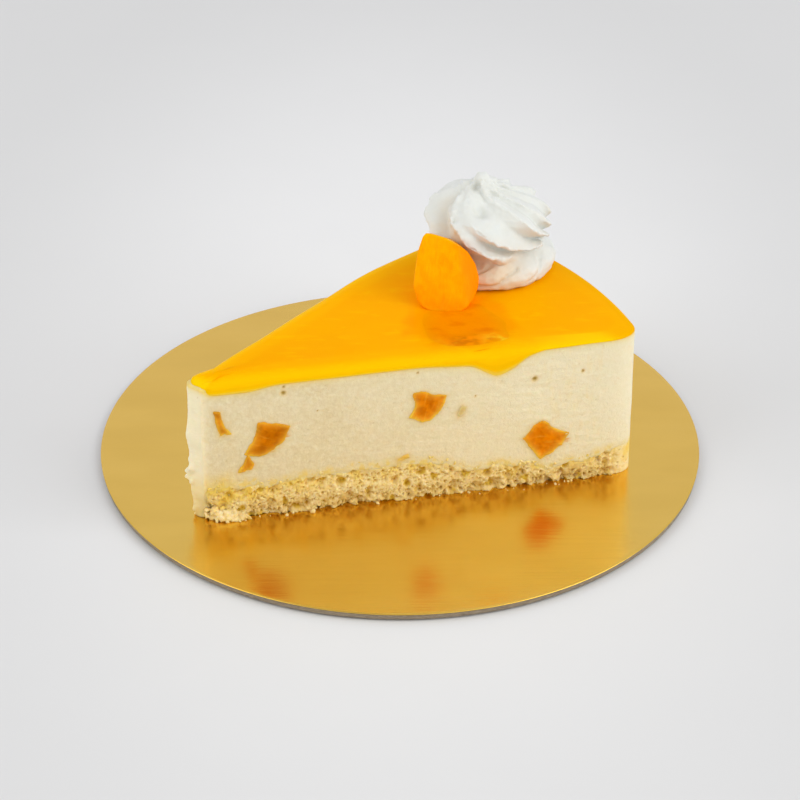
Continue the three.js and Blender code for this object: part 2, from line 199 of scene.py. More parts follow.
# How many rings make up the skins of the mousse, the sponge and the rosette, and the rosette's sides
MOUSSE_LEVELS = 96
SPONGE_LEVELS = 54
CREAM_LEVELS = 150
CREAM_SIDES = 540

# Crumbs: how high the faces are that they stand out of, how many stand there, and how many are in the heap
# at the tip, with its middle and spread along the near cut. Of those that lie on the card, some have a place
# of their own, as [x, y, radius]
CRUMB_FACE_HEIGHT = 10
CRUMBS_PER_SQUARE_MM = 1.7
CRUMB_VOXEL = 0.165
TIP_HEAP = (9.2, 3.2)
TIP_HEAP_CRUMBS = 170
LOOSE_CRUMBS = 46
PLACED_CRUMBS = [
    *[[-29.1, -36.6, 0.5], [-22.5, -34.9, 0.6], [-47, -39.6, 0.4]],
    *[[-44.3, -39.8, 0.5], [-41.1, -39.2, 0.4]],
]

# The leaning piece of mango
TOPPING_FOOT = (12.6, -3.6)
TOPPING_TURN_DEG = -13
TOPPING_LEAN_DEG = 30
TOPPING_THICKNESS = 11
TOPPING_ROUND = 0.5
TOPPING_MIDDLE = (-1.8, 9)

# Its front seen square on, as [across, up], and the ridge where its right side turns away, as [up, across]
TOPPING_OUTLINE = [
    *[(-8.2, 19.7), (-3.1, 18.9), (0.5, 17.5), (2.8, 16), (5.1, 12.9), (6.3, 9.6), (6.4, 6.8), (5.7, 3.4)],
    *[(4, 0.2), (-0.8, -0.7), (-6.4, -0.4), (-8.7, 2.2), (-9.9, 5.6), (-10, 9), (-9.8, 14.2), (-9, 18.6)],
]
TOPPING_RIDGE = [[0, 4.4], [3.4, 4], [9.8, 2.5], [17.4, 0.5], [20, 0]]
TOPPING_SIDE_FALL = 1.2
TOPPING_RIDGE_SOFT = 1.5
TOPPING_TAPER = 0.3

# The thin pool of syrup round its foot, in plan
SYRUP_OUTLINE = [
    *[(3.7, -10.1), (5.4, -18), (10.6, -23.2), (18.3, -23.4), (24.6, -21), (29.6, -18)],
    *[(29.1, -12.2), (29, -8.6), (24.3, -1.3), (20.7, 2.4), (12, 2), (5.4, -3)],
]

# The pool's deep part, its dark spot and its painted highlights: each a middle, and a reach along x and y
SYRUP_DEEP = ((15, -13), (10, 13))
SYRUP_SPOT = ((18, -18.6), (5, 2.6))
SYRUP_GLINTS = [((25.8, -17.6), (3.6, 2.4)), ((12.6, -19.6), (2.4, 1.3))]

# The glaze that the syrup has stained: its middle and reach in metres, and its colour
STAIN_MIDDLE = (0.0155, -0.0105, 0.0436)
STAIN_REACH = (0.0135, 0.0125, 0.02)
STAIN_COLOUR = (0.97, 0.32, 0.0)

# The whipped cream rosette, with its outer profile as [height, radius]
CREAM_CENTRE = np.array([23.8, 23])
CREAM_BASE = GLAZE_TOP + CARD_THICKNESS
CREAM_TOP = 26
CREAM_LEAN = -2.2
CREAM_PROFILE = [
    *[[0, 15.8], [1.4, 17.2], [3.2, 17.6], [4.4, 17.1], [5.4, 16], [6.3, 14.9], [7.1, 14.5], [8, 15.1]],
    *[[9, 15.9], [10, 16.4], [11.5, 16.7], [13, 17], [15, 16.9], [16.5, 16.2], [18, 14.9], [19.3, 12.7]],
    *[[20.5, 10], [21.6, 7.3], [22.6, 5.2], [23.7, 3.5], [25, 2.1], [CREAM_TOP, 1]],
]

# The rosette's ridges: for each, the [height, depth] rows of the valley on its right, where that valley lies
# on the way to the next crest, and the crest's path as [height, direction] rows
CREAM_RIDGES = [
    (
        [[11, 3.8], [13, 3.3], [15, 2], [17, 1], [19, 0.4]],
        0.5,
        [
            *[[6, -70], [9.2, -79], [9.9, -88], [11, -97], [13, -110]],
            *[[15.7, -117], [18.6, -135], [20.6, -149], [26, -190]],
        ],
    ),
    (
        [[13, 4], [19, 3.8], [26, 2]],
        0.64,
        [
            *[[6, 0], [9.2, -30], [9.8, -44], [10.5, -56], [11.6, -68]],
            *[[14.1, -83], [18, -105], [19.5, -116], [26, -175]],
        ],
    ),
    ([[13, 2.8]], 0.6, [[8, 0], [13.4, -36], [15.8, -45], [18.4, -51], [20, -57], [21.9, -76], [26, -120]]),
    ([[13, 2.4]], 0.6, [[8, 15], [12, -8], [15.5, -22], [19.1, -28], [20.9, -34], [23.1, -52], [26, -90]]),
    ([[13, 2.6]], 0.62, [[8, 35], [11, 16], [16, 3], [20.3, -2], [22.1, -12], [26, -60]]),
    ([[13, 3]], 0.62, [[6, 75], [10, 58], [14, 42], [18, 30], [21, 18], [26, -20]]),
    ([[13, 3]], 0.62, [[6, 110], [10, 92], [14, 76], [18, 64], [21, 50], [26, 12]]),
    ([[13, 3]], 0.62, [[6, 146], [10, 127], [14, 110], [18, 97], [21, 84], [26, 45]]),
    ([[13, 3]], 0.62, [[6, 184], [10, 162], [14, 143], [18, 129], [21, 118], [26, 80]]),
    (
        [[11, 2.5], [15, 5], [20, 5.4], [26, 3]],
        0.36,
        [[6, 236], [9, 222], [12, 206], [14.9, 193], [16.5, 180], [18, 170], [21, 163], [26, 120]],
    ),
]

# Where painted light, bounced orange from the glaze and fruit, warms the rosette's foot
CREAM_BOUNCE_AT = (18, 6, CREAM_BASE + 2)

# The rosette's two deep dents, and its torn places: direction, distance from its middle, height, how far they
# reach and how far they stand out, or in where that is negative
CREAM_DENTS = [(-96, 9.6, 20.9, 2, -2.6), (-133, 3.2, 24, 1.3, -1.6)]
CREAM_TEARS = [
    *[(-129, 14, 18.2, 0.8, -1), (-132, 13.4, 17, 0.7, 0.9), (-127, 14.6, 15.6, 0.8, 0.7)],
    *[(-135, 12.2, 19.8, 0.8, 0.9), (14, 0.3, 26, 1, 0.6), (11, 3.3, 24.8, 1, 1), (177, 4.6, 24.1, 1.1, 0.8)],
    *[(-20, 6.5, 23.1, 1.2, 0.8), (-147, 8.3, 22.2, 1.1, 0.9), (-155, 9.8, 21.3, 0.8, 0.7)],
    *[(-81, 15.6, 7.5, 1.8, 1.6), (-102, 15.4, 7.2, 2.4, -0.8), (0, 3.7, 25.4, 0.8, 1)],
    *[(180, 3.9, 24.6, 0.9, 0.8), (5, 6.9, 22.6, 0.9, 0.8), (-60, 5, 24, 0.7, 0.7), (-110, 3, 25, 0.7, 0.8)],
]

# Fold lines in the rosette's foot: the path as [direction, height] rows, its half width and its depth
CREAM_CREASES = [
    ([[-104, 5.2], [-96, 6], [-86, 7.4]], 0.5, 0.8),
    ([[-104, 2.2], [-92, 2.2], [-84, 2.7], [-76, 4.5], [-64, 5.6]], 0.55, 0.7),
    ([[-56, 1.6], [-44, 3.4], [-34, 5.6]], 0.6, 0.5),
    ([[-128, 1.8], [-120, 3.4], [-114, 5.4]], 0.6, 0.6),
]

# The floor: its size and place below the card in millimetres, its tones, and where its painted pool of light
# lies and fades
FLOOR_REACH = 4000
FLOOR_BELOW = 0.5
FLOOR_MIDDLE = (0.80, 0.80, 0.79)
FLOOR_EDGE = (0.68, 0.68, 0.67)
FLOOR_MIDDLE_Y = 0.052
FLOOR_SQUEEZE = 0.51
FLOOR_FADE = (0.03, 0.15)

# The world's colour by height, from the horizon to overhead
WORLD_STOPS = [
    (0.0, (0.74, 0.74, 0.74, 1)),
    (0.25, (0.745, 0.745, 0.75, 1)),
    (0.7, (0.75, 0.75, 0.755, 1)),
    (1.0, (0.45, 0.45, 0.45, 1)),
]

# The cool end of the room that the card mirrors: where it lies, where it starts and is full, and its colour
ROOM_END = (0, 0.85, 0.52)
ROOM_END_FADE = (0.8, 0.93)
ROOM_END_COLOUR = (0.76, 0.765, 0.92)

# The place in metres that the softboxes look at
LIT_PLACE = (0, 0, 0.02)

# Softboxes: name, place in metres, size and power
SOFTBOXES = [
    ("left_light", (-1.4, -0.5, 0.9), 1.4, 9.5),
    ("right_light", (1.4, -0.6, 1.0), 1.4, 15),
    ("top_light", (0.5, -0.5, 1.7), 1, 2),
]


# Repeatable noise

def hashed(cell, seed):
    """A repeatable number from 0 to 1 for each whole-number cell."""
    mixed = cell.astype(np.uint64)
    mixed = mixed[..., 0] * 73856093 ^ mixed[..., 1] * 19349663 ^ mixed[..., 2] * 83492791
    mixed = (mixed ^ np.uint64(seed * 2654435761 + 12345)) & 0xFFFFFFFF
    mixed = ((mixed ^ (mixed >> np.uint64(15))) * 2246822519) & 0xFFFFFFFF
    mixed = ((mixed ^ (mixed >> np.uint64(13))) * 3266489917) & 0xFFFFFFFF
    return (mixed ^ (mixed >> np.uint64(16))) / 4294967295


def lumps(points, size, seed):
    """Smooth noise from -1 to 1, whose lumps are about size wide. A size may differ along each axis."""
    scaled = points / size
    cell = np.floor(scaled).astype(np.int64)
    share = smooth(scaled - cell, 0, 1)
    total = np.zeros(len(points))
    for corner in np.ndindex(2, 2, 2):
        weight = np.prod(np.where(corner, share, 1 - share), axis=1)
        total += weight * hashed(cell + np.array(corner), seed)
    return 2 * total - 1


def cloud(points, size, octaves, seed):
    """Noise from about -1 to 1, with finer lumps on each lump."""
    size = np.asarray(size, float)
    total = sum(lumps(points, size / 2**octave, seed + octave) / 2**octave for octave in range(octaves))
    return total / (2 - 2 / 2**octaves)


def cells(points, size, seed):
    """The distance to the nearest of a crowd of random points, as a share of their spacing."""
    scaled = points / size
    cell = np.floor(scaled).astype(np.int64)
    nearest = np.full(len(points), np.inf)
    for step in np.ndindex(3, 3, 3):
        corner = cell + np.array(step) - 1
        place = np.stack([hashed(corner, seed + axis) for axis in range(3)], axis=1)
        nearest = np.minimum(nearest, distance(corner + place, scaled))
    return nearest


# Measures and easing

def smooth(value, low, high):
    """0 up to low, 1 from high on, and an eased way between."""
    share = np.clip((value - low) / (high - low), 0, 1)
    return share * share * (3 - 2 * share)


def fade(value, low, high):
    """1 up to low, 0 from high on, and an eased way between."""
    return 1 - smooth(value, low, high)


def bell(away):
    return np.exp(-(away**2))


def trail(away, reach):
    """1 up to no distance away, and less and less beyond."""
    return np.exp(-np.maximum(away, 0) / reach)


def mix(a, b, share):
    return a + (b - a) * share


def along(table, x):
    """The value of a table of [place, value] rows at x, eased between rows."""
    rows = np.array(table, float)
    x = np.clip(x, rows[0, 0], rows[-1, 0])
    row = np.clip(np.searchsorted(rows[:, 0], x) - 1, 0, len(rows) - 2)
    return mix(rows[row, 1], rows[row + 1, 1], smooth(x, rows[row, 0], rows[row + 1, 0]))


def at_row(table, x):
    """The value of a table of [place, value] rows at x, on straight lines between rows."""
    return np.interp(x, *zip(*table))


def distance(points, place, reach=1):
    """How far points are from a place, in reaches, which may differ along each axis."""
    return np.linalg.norm((points - np.asarray(place)) / reach, axis=1)


def direction(degrees):
    return np.array([math.cos(math.radians(degrees)), math.sin(math.radians(degrees))])


def polar(centre, reach, degrees):
    return np.asarray(centre, float) + reach * direction(degrees)


def columns(*values):
    """Points from their coordinates, each a row of values or one value for all."""
    return np.column_stack(np.broadcast_arrays(*values))


def lifted(plan, height):
    """Points in plan lifted to a height above the card."""
    return np.column_stack([plan, np.broadcast_to(height, len(plan)) + CARD_THICKNESS])


# The outline of the slice in plan

def straight(a, b):
    return mix(np.asarray(a, float), np.asarray(b, float), np.linspace(0, 1, 200)[:, None])


def bow(a, control, b):
    return mix(straight(a, control), straight(control, b), np.linspace(0, 1, 200)[:, None])


def spline(points, steps=60):
    """A smooth open curve through points."""
    points = np.asarray(points, float)
    padded = np.vstack([points[:1], points, points[-1:]])
    share = np.linspace(0, 1, steps)[:, None]
    stretches = []
    for p0, p1, p2, p3 in zip(padded, padded[1:], padded[2:], padded[3:]):
        bend = (2 * p0 - 5 * p1 + 4 * p2 - p3) * share**2 + (3 * p1 - p0 - 3 * p2 + p3) * share**3
        stretches.append(p1 + 0.5 * ((p2 - p0) * share + bend))
    return np.vstack(stretches)


def even_steps(path, step):
    """Points every step along a closed path, and how far along each lies."""
    closed = np.vstack([path, path[:1]])
    run = np.concatenate([[0], np.cumsum(distance(closed[1:], closed[:-1]))])
    count = int(round(run[-1] / step))
    at = np.arange(count) * run[-1] / count
    return columns(*(np.interp(at, run, values) for values in closed.T)), at


def blurred(values, reach):
    """A closed row of values, smoothed over reach places to each side."""
    places = np.arange(-3 * reach, 3 * reach + 1)
    weights = np.exp(-0.5 * (places / reach) ** 2)
    weights /= weights.sum()
    return sum(w * np.roll(values, place, axis=0) for w, place in zip(weights, places))


class Outline:
    """Every place round the slice: where it is, which way is out and in, and the heights there."""

    def __init__(self, step):
        ease = round(CORNER_EASE / step)
        near_run, rim_run = self.lay_out(step)
        self.count = len(self.run)
        self.is_near = self.run <= near_run
        self.is_rim = (self.run > near_run) & (self.run <= rim_run)
        smooth_rim = (self.run > near_run + CUT_INTO_RIM) & (self.run <= rim_run - CUT_INTO_RIM)
        self.cut = 1 - blurred(smooth_rim.astype(float), round(CUT_EASE / step))

        tangent = blurred(np.roll(self.xy, -1, axis=0) - np.roll(self.xy, 1, axis=0), ease)
        tangent /= np.linalg.norm(tangent, axis=1)[:, None]
        self.outward = columns(tangent[:, 1], -tangent[:, 0])
        spine = direction((NEAR_CUT_DEG + BACK_CUT_DEG) / 2)
        on_spine = np.clip((self.xy - APEX) @ spine, *SPINE_ENDS)
        self.inward = APEX + on_spine[:, None] * spine - self.xy
        self.middle = APEX + SLICE_MIDDLE * spine
        self.near_at = (self.xy - APEX) @ direction(NEAR_CUT_DEG)
        self.back_at = (self.xy - APEX) @ direction(BACK_CUT_DEG)

        behind = self.behind = np.where(self.is_near, -self.run, self.run[-1] - self.run)
        self.tip = fade(distance(self.xy, APEX), 0, TIP_REACH)
        self.near_tip = fade(distance(self.xy, APEX), *NEAR_TIP)
        self.by_tip = self.near_tip * self.is_near
        self.smear_end = fade(np.abs(behind), *SMEAR_BACK)
        self.smear = smooth(behind, *SMEAR_NEAR) * self.smear_end
        self.smear_reach = smooth(behind, SMEAR_NEAR[0] - 1.8, SMEAR_NEAR[0]) * self.smear_end
        self.nose = smooth(behind, *NOSE_STARTS) * fade(behind, *NOSE_ENDS)
        self.nose_foot = smooth(behind, *NOSE_FOOT_STARTS) * fade(behind, *NOSE_FOOT_ENDS)

        wander = cloud(columns(self.run, 0, 0), 3.2, 3, 17)
        self.sponge_top = blurred(self.height_of_sponge(), ease)
        self.crumb_top = self.sponge_top + (0.2 + 1.1 * wander) * self.cut + CRUMB_RISE_AT_TIP * self.by_tip
        self.glaze_edge = mix(blurred(self.height_of_glaze_edge(), ease), NOSE_GLAZE_EDGE, 0.7 * self.nose)
        self.glaze_top = GLAZE_TOP - GLAZE_TOP_DROP_AT_TIP * self.tip

    def lay_out(self, step):
        """Places the points, from the tip along the near cut. Says where the near cut and the rim end."""
        near_end = polar(APEX, NEAR_CUT_LENGTH, NEAR_CUT_DEG)
        rim = [polar(RIM_CENTRE, RIM_RADIUS, turn) for turn in np.linspace(RIM_FROM_DEG, RIM_TO_DEG, 300)]
        back_apex = polar(APEX, BACK_CUT_OUTWARD, BACK_CUT_DEG + 90)
        bend = polar(back_apex, BACK_CUT_BEND, BACK_CUT_DEG)
        back_to, back_from = (polar(back_apex, reach, BACK_CUT_DEG) for reach in BACK_CUT_STRAIGHT)
        near_part = straight(TIP_POINTS[-1], near_end)
        rim_part = np.vstack([bow(near_end, NEAR_CORNER, rim[0]), rim, bow(rim[-1], *BACK_CORNER[:2])])
        back_part = np.vstack([
            straight(*BACK_CORNER[1:]),
            bow(BACK_CORNER[2], bend, back_from),
            straight(back_from, back_to),
            spline([back_to, *TIP_POINTS]),
        ])
        path = np.vstack([near_part, rim_part, back_part])
        self.xy, self.run = even_steps(path[distance(path, np.roll(path, 1, axis=0)) > 1e-6], step)
        near_run = np.linalg.norm(near_end - TIP_POINTS[-1])
        return near_run, near_run + distance(rim_part[1:], rim_part[:-1]).sum()

    def height_of_sponge(self):
        back = SPONGE_TOP_BACK + 0.9 * np.sin(self.run * 0.11) + 0.6 * np.sin(self.run * 0.29 + 1)
        top = np.where(self.is_rim, SPONGE_TOP_RIM, back)
        return np.where(self.is_near, along(SPONGE_TOP_NEAR, self.xy[:, 0]), top)

    def height_of_glaze_edge(self):
        wave = 0.5 * np.sin(self.run * 0.09 + 2) + 0.35 * np.sin(self.run * 0.23) + 0.5 * self.tip
        top = np.where(self.is_rim, GLAZE_EDGE_RIM, GLAZE_EDGE_BACK + wave)
        return np.where(self.is_near, along(GLAZE_EDGE_NEAR, self.xy[:, 0]), top)

    def ring(self, inset, height):
        """The outline moved in by inset, or out where it is negative, at a height above the card."""
        length = np.linalg.norm(self.inward, axis=1)
        share = np.minimum(np.maximum(inset, 0) / length, MOST_INWARD)
        outset = np.broadcast_to(np.minimum(inset, 0), self.count)
        return lifted(self.xy + self.inward * share[:, None] - self.outward * outset[:, None], height)

    def foot_inset(self, height):
        """How far the slice's foot is drawn in at the corner between the near cut and the nose."""
        return NOSE_CORNER_INSET * bell(self.behind / NOSE_CORNER_REACH) * fade(height, 0.3, 7)

    def under_nose(self, height, place=slice(None)):
        """How far the sponge's foot is drawn in under the nose."""
        return NOSE_FOOT_INSET * self.nose_foot[place] * fade(height, 0.5, 9)

    def on_cut_faces(self, near, back):
        """Values on the near face and on the back face, far away from anything elsewhere."""
        return np.where(self.is_near, near, np.where(self.is_rim, 99, back))

    def inside(self, points):
        """How far points lie inside the slice's outline."""
        return -outline_distance(points[:, :2], self.xy[::6])


def outline_distance(points, shape):
    """Signed distance in the plane from points to a closed outline, negative inside."""
    shape = np.asarray(shape, float)
    nearest = np.full(len(points), np.inf)
    inside = np.zeros(len(points), bool)
    for a, b in zip(shape, np.roll(shape, -1, axis=0)):
        edge = b - a
        share = np.clip((points - a) @ edge / (edge @ edge), 0, 1)
        nearest = np.minimum(nearest, distance(points, a + share[:, None] * edge))
        crosses = (a[1] > points[:, 1]) != (b[1] > points[:, 1])
        rise = edge[1] or 1e-12
        inside ^= crosses & (points[:, 0] < a[0] + (points[:, 1] - a[1]) * edge[0] / rise)
    return np.where(inside, -nearest, nearest)


def nearest_outline(points, outlines):
    return np.min([outline_distance(points, shape) for shape in outlines], axis=0)


outline = Outline(PLACE_STEP)


# Meshes

def mesh_object(name, points, faces):
    """A smooth object from points in millimetres and arrays of faces with three or four corners each."""
    mesh = bpy.data.meshes.new(name)
    mesh.vertices.add(len(points))
    mesh.vertices.foreach_set("co", (np.asarray(points) * MM).astype(np.float32).ravel())
    corners = np.concatenate([rows.ravel() for rows in faces])
    sizes = np.concatenate([np.full(len(rows), rows.shape[1]) for rows in faces])
    mesh.loops.add(len(corners))
    mesh.loops.foreach_set("vertex_index", corners.astype(np.int32))
    mesh.polygons.add(len(sizes))
    starts = np.concatenate([[0], np.cumsum(sizes)[:-1]])
    mesh.polygons.foreach_set("loop_start", starts.astype(np.int32))
    mesh.update(calc_edges=True)
    mesh.validate()
    mesh.shade_smooth()
    return linked(name, mesh)


def linked(name, data):
    thing = bpy.data.objects.new(name, data)
    bpy.context.scene.collection.objects.link(thing)
    return thing


def ring_object(name, rings, low_end, high_end):
    """A closed skin from a stack of rings, which go anticlockwise as seen from above."""
    sides, last = len(rings[0]), (len(rings) - 1) * len(rings[0])
    side = np.arange(sides)
    after = (side + 1) % sides
    level = columns(side, after, sides + after, sides + side)
    quads = [start + level for start in range(0, last, sides)]
    low_point = np.full(sides, last + sides)
    bottom = columns(low_point, after, side)
    top = columns(last + side, last + after, low_point + 1)
    points = np.vstack([*rings, [low_end], [high_end]])
    return mesh_object(name, points, [np.vstack(quads), np.vstack([bottom, top])])


def places_of(thing):
    """The object's points in millimetres."""
    points = np.empty(len(thing.data.vertices) * 3, np.float32)
    thing.data.vertices.foreach_get("co", points)
    return points.reshape(-1, 3).astype(float) / MM


def normals_of(thing):
    normals = np.empty(len(thing.data.vertices) * 3, np.float32)
    thing.data.vertex_normals.foreach_get("vector", normals)
    return normals.reshape(-1, 3).astype(float)


def set_places(thing, points):
    thing.data.vertices.foreach_set("co", (points * MM).astype(np.float32).ravel())
    thing.data.update()


def note(thing, **notes):
    """Keeps numbers, or vectors, for each point of the mesh, for its material to read."""
    for name, values in notes.items():
        values = np.asarray(values, float)
        kind, key = ("FLOAT_VECTOR", "vector") if values.ndim == 2 else ("FLOAT", "value")
        if not values.ndim:
            values = np.full(len(thing.data.vertices), values)
        attribute = thing.data.attributes.new(name, kind, "POINT")
        attribute.data.foreach_set(key, values.astype(np.float32).ravel())


def applied(thing, kind, **settings):
    """The object with one modifier made part of its mesh."""
    modifier = thing.modifiers.new(kind.lower(), kind)
    for setting, value in settings.items():
        setattr(modifier, setting, value)
    ready = thing.evaluated_get(bpy.context.evaluated_depsgraph_get())
    mesh = bpy.data.meshes.new_from_object(ready)
    thing.modifiers.clear()
    old = thing.data
    thing.data = mesh
    bpy.data.meshes.remove(old)
    thing.data.shade_smooth()
    return thing


def remeshed(thing, voxel, rounds=0):
    """One closed skin round all of the object's parts, smoothed so many times."""
    applied(thing, "REMESH", mode="VOXEL", voxel_size=voxel * MM, use_smooth_shade=True)
    return applied(thing, "SMOOTH", factor=0.5, iterations=rounds) if rounds else thing


def hollowness(thing):
    """How far each point lies under a smoothed copy of the surface, in millimetres."""
    even = applied(linked("even", thing.data.copy()), "SMOOTH", factor=0.5, iterations=14)
    below = np.sum((places_of(even) - places_of(thing)) * normals_of(thing), axis=1)
    old = even.data
    bpy.data.objects.remove(even)
    bpy.data.meshes.remove(old)
    return below


def finished(thing, look, slot, *nodes):
    """Gives a piece its material and the body that it rides on, and hides the nodes that it stands for. Its
    slot is not used.
    """
    thing.data.materials.clear()
    thing.data.materials.append(look)
    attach(thing, "root")
    if nodes:
        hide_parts(*nodes)


# Materials

class Nodes:
    """A node tree, and ways to add to it."""

    def __init__(self, owner):
        owner.use_nodes = True
        self.tree = owner.node_tree

    def plug(self, node, socket, value):
        """Links a socket to another node's output, or sets it."""
        if isinstance(value, bpy.types.NodeSocket):
            self.tree.links.new(value, node.inputs[socket])
        else:
            node.inputs[socket].default_value = value

    def node(self, kind, inputs, **settings):
        made = self.tree.nodes.new(kind)
        for setting, value in settings.items():
            setattr(made, setting, value)
        for socket, value in inputs.items():
            self.plug(made, socket, value)
        return made

    def ramp(self, value, low, high, to_low=0.0, to_high=1.0):
        inputs = {"Value": value, "From Min": low, "From Max": high, "To Min": to_low, "To Max": to_high}
        return self.node("ShaderNodeMapRange", inputs, interpolation_type="SMOOTHSTEP").outputs[0]

    def vector(self, operation, a, b=(0, 0, 0), output="Vector"):
        return self.node("ShaderNodeVectorMath", {0: a, 1: b}, operation=operation).outputs[output]

    def blend(self, share, a, b):
        """A colour between a and b, each a colour or a socket."""
        a, b = (value if isinstance(value, bpy.types.NodeSocket) else (*value, 1) for value in (a, b))
        return self.node("ShaderNodeMix", {0: share, 6: a, 7: b}, data_type="RGBA").outputs[2]


class Look(Nodes):
    """A procedural material, laid out in the object's own metres, with a base colour built up in layers.
    Inside holds how much light goes in, how many metres it spreads, and each colour's share of that."""

    def __init__(self, name, roughness, specular=0.5, inside=(), tint=(1, 1, 1), **sockets):
        self.material = bpy.data.materials.new(name)
        super().__init__(self.material)
        self.shader = self.tree.nodes["Principled BSDF"]
        self.place = self.node("ShaderNodeTexCoord", {}).outputs["Object"]
        self.relief = {}
        sockets |= {"Roughness": roughness, "Specular IOR Level": specular, "Specular Tint": (*tint, 1)}
        sockets |= zip(("Subsurface Weight", "Subsurface Scale", "Subsurface Radius"), inside)
        for socket, value in sockets.items():
            self.plug(self.shader, socket.replace("_", " "), value)

    def noise(self, size, detail=3, roughness=0.5, place=None, distortion=0):
        """Noise from 0 to 1 with lumps about size millimetres wide, or a size for each axis."""
        scale = 1 / (np.broadcast_to(size, 3) * MM)
        moved = self.node("ShaderNodeMapping", {"Vector": place or self.place, "Scale": scale}).outputs[0]
        kind = {"Detail": detail, "Roughness": roughness, "Distortion": distortion}
        return self.node("ShaderNodeTexNoise", {"Vector": moved, "Scale": 1, **kind}).outputs[0]

    def patches(self, size, low=0.3, high=0.7, to_low=0.0, to_high=1.0, **kind):
        return self.ramp(self.noise(size, **kind), low, high, to_low, to_high)

    def noted(self, name, output="Fac"):
        settings = {"attribute_type": "GEOMETRY", "attribute_name": name}
        return self.node("ShaderNodeAttribute", {}, **settings).outputs[output]

    def layer(self, share, colour, amount=1):
        """Lays a colour over the base, by a socket or by what the mesh's points have noted."""
        share = self.noted(share) if isinstance(share, str) else share
        if amount != 1:
            share = self.node("ShaderNodeMath", {0: share, 1: amount}, operation="MULTIPLY").outputs[0]
        self.base = self.blend(share, self.base, colour)

    def raised(self, height, depth):
        """Adds relief: depth is what a height of 1 stands for, in millimetres."""
        inputs = {"Height": height, "Distance": depth * MM, "Strength": 1, **self.relief}
        self.relief = {"Normal": self.node("ShaderNodeBump", inputs).outputs[0]}

    def done(self, **sockets):
        """The material, once its base colour, its relief and these sockets are linked."""
        for socket, value in {"Base Color": self.base, **sockets, **self.relief}.items():
            self.plug(self.shader, socket, value)
        return self.material


def mousse_look():
    look = Look("mousse", 0.55, 0.2, (0.35, 0.0025, (1, 0.7, 0.4)))
    look.base = look.blend(look.patches(14), (0.805, 0.687, 0.432), (0.767, 0.643, 0.38))
    # Painted light: the mousse is tinted lighter towards the far end of the near face, where more light falls
    look.layer("painted_light_far_end", (0.90, 0.80, 0.55))
    look.layer(look.patches(1.3, 0.35, 0.7, detail=5, roughness=0.75), (0.94, 0.85, 0.62), 0.6)
    look.layer(look.patches(2.3, 0.56, 0.7, detail=5, roughness=0.75), (0.82, 0.66, 0.36), 0.5)
    # Painted light: the nose strip at the tip is tinted lighter, for the light that falls on it from the side
    look.layer("nose", (1.0, 0.865, 0.59))
    look.layer("crumby", (0.90, 0.67, 0.19))
    look.layer("stain", (0.95, 0.66, 0.14))
    look.layer("halo", (0.86, 0.56, 0.13))
    look.layer("streak", (0.80, 0.34, 0.02))
    # Painted shade: darker inside the cut air bubbles and pinholes
    look.layer("painted_pore_shade", (0.46, 0.29, 0.05))
    look.raised(look.noise(0.9, detail=5, roughness=0.75), 0.34)
    return look.done(Roughness=look.patches(3, to_low=0.45, to_high=0.65))


def sponge_look(name):
    look = Look(name, 0.9, 0.1, (0.3, 0.001, (1, 0.7, 0.2)))
    look.base = look.blend(look.patches(1.2, detail=4, roughness=0.7), (0.87, 0.66, 0.27), (0.95, 0.82, 0.50))
    look.layer("yellow", (0.86, 0.61, 0.12), look.patches((4, 4, 5), 0.4, 0.6, 0.2))
    # Painted shade: darker towards the sponge's foot
    look.layer("low", (0.70, 0.49, 0.16))
    # Painted shade: a darker, golden colour inside the sponge's open holes
    look.layer("pit", (0.68, 0.45, 0.055))
    # Painted shade: darker where the surface lies in hollows
    look.layer("deep", (0.56, 0.30, 0.014))
    look.raised(look.noise(0.45, detail=4, roughness=0.7), 0.12)
    return look.done()


def glaze_look():
    look = Look("glaze", 0.16, 0.005, (0.25, 0.003, (1, 0.5, 0.05)), (1, 0.8, 0.3))
    look.base = look.blend(look.patches((26, 18, 10)), (0.97, 0.385, 0.0), (0.98, 0.41, 0.0))
    wisps = look.patches((9, 2.2, 4), 0.54, 0.72, detail=4, roughness=0.6, distortion=0.8)
    look.layer(wisps, (1.0, 0.50, 0.001), 0.5)
    from_stain = look.vector("DIVIDE", look.vector("SUBTRACT", look.place, STAIN_MIDDLE), STAIN_REACH)
    away = look.vector("LENGTH", from_stain, output="Value")
    ragged = look.node("ShaderNodeMath", {0: away, 1: look.noise(7)}, operation="ADD").outputs[0]
    look.layer(look.ramp(ragged, 1.3, 1.75, 1, 0), STAIN_COLOUR)
    look.layer("thin", (1.0, 0.585, 0.002))
    look.layer("fringe", (1.0, 0.66, 0.10))
    look.raised(look.noise(6), 0.05)
    look.raised(look.noise((5, 1.8, 5)), 0.03)
    return look.done(Roughness=look.patches(9, to_low=0.12, to_high=0.22, detail=2))


def mango_look(name, pale, deep, edge, fibre_depth, fibre_share=0.2, shade=0.0):
    """Moist fruit flesh with fibres that run along the piece's own second axis."""
    look = Look(name, 0.28, 0.03, (0.35, 0.002, (1, 0.45, 0.05)), (1, 0.8, 0.4))
    fibre_place = look.noted("fibre", "Vector")
    look.base = look.blend(look.patches(4, place=fibre_place), deep, pale)
    fibre = look.noise((0.9, 7, 0.9), roughness=0.6, place=fibre_place)
    look.layer(look.ramp(fibre, 0.5, 0.78, 0, fibre_share), edge)
    look.layer("edge", edge)
    # Painted shade: darker where the mesh notes a side turned away from the light, as much as shade says
    look.layer("side", (1.0, 0.245, 0.0), shade)
    look.raised(fibre, fibre_depth)
    look.raised(look.noise(0.7), 0.04)
    return look.done(Roughness=look.ramp(fibre, 0.3, 0.7, 0.25, 0.4))


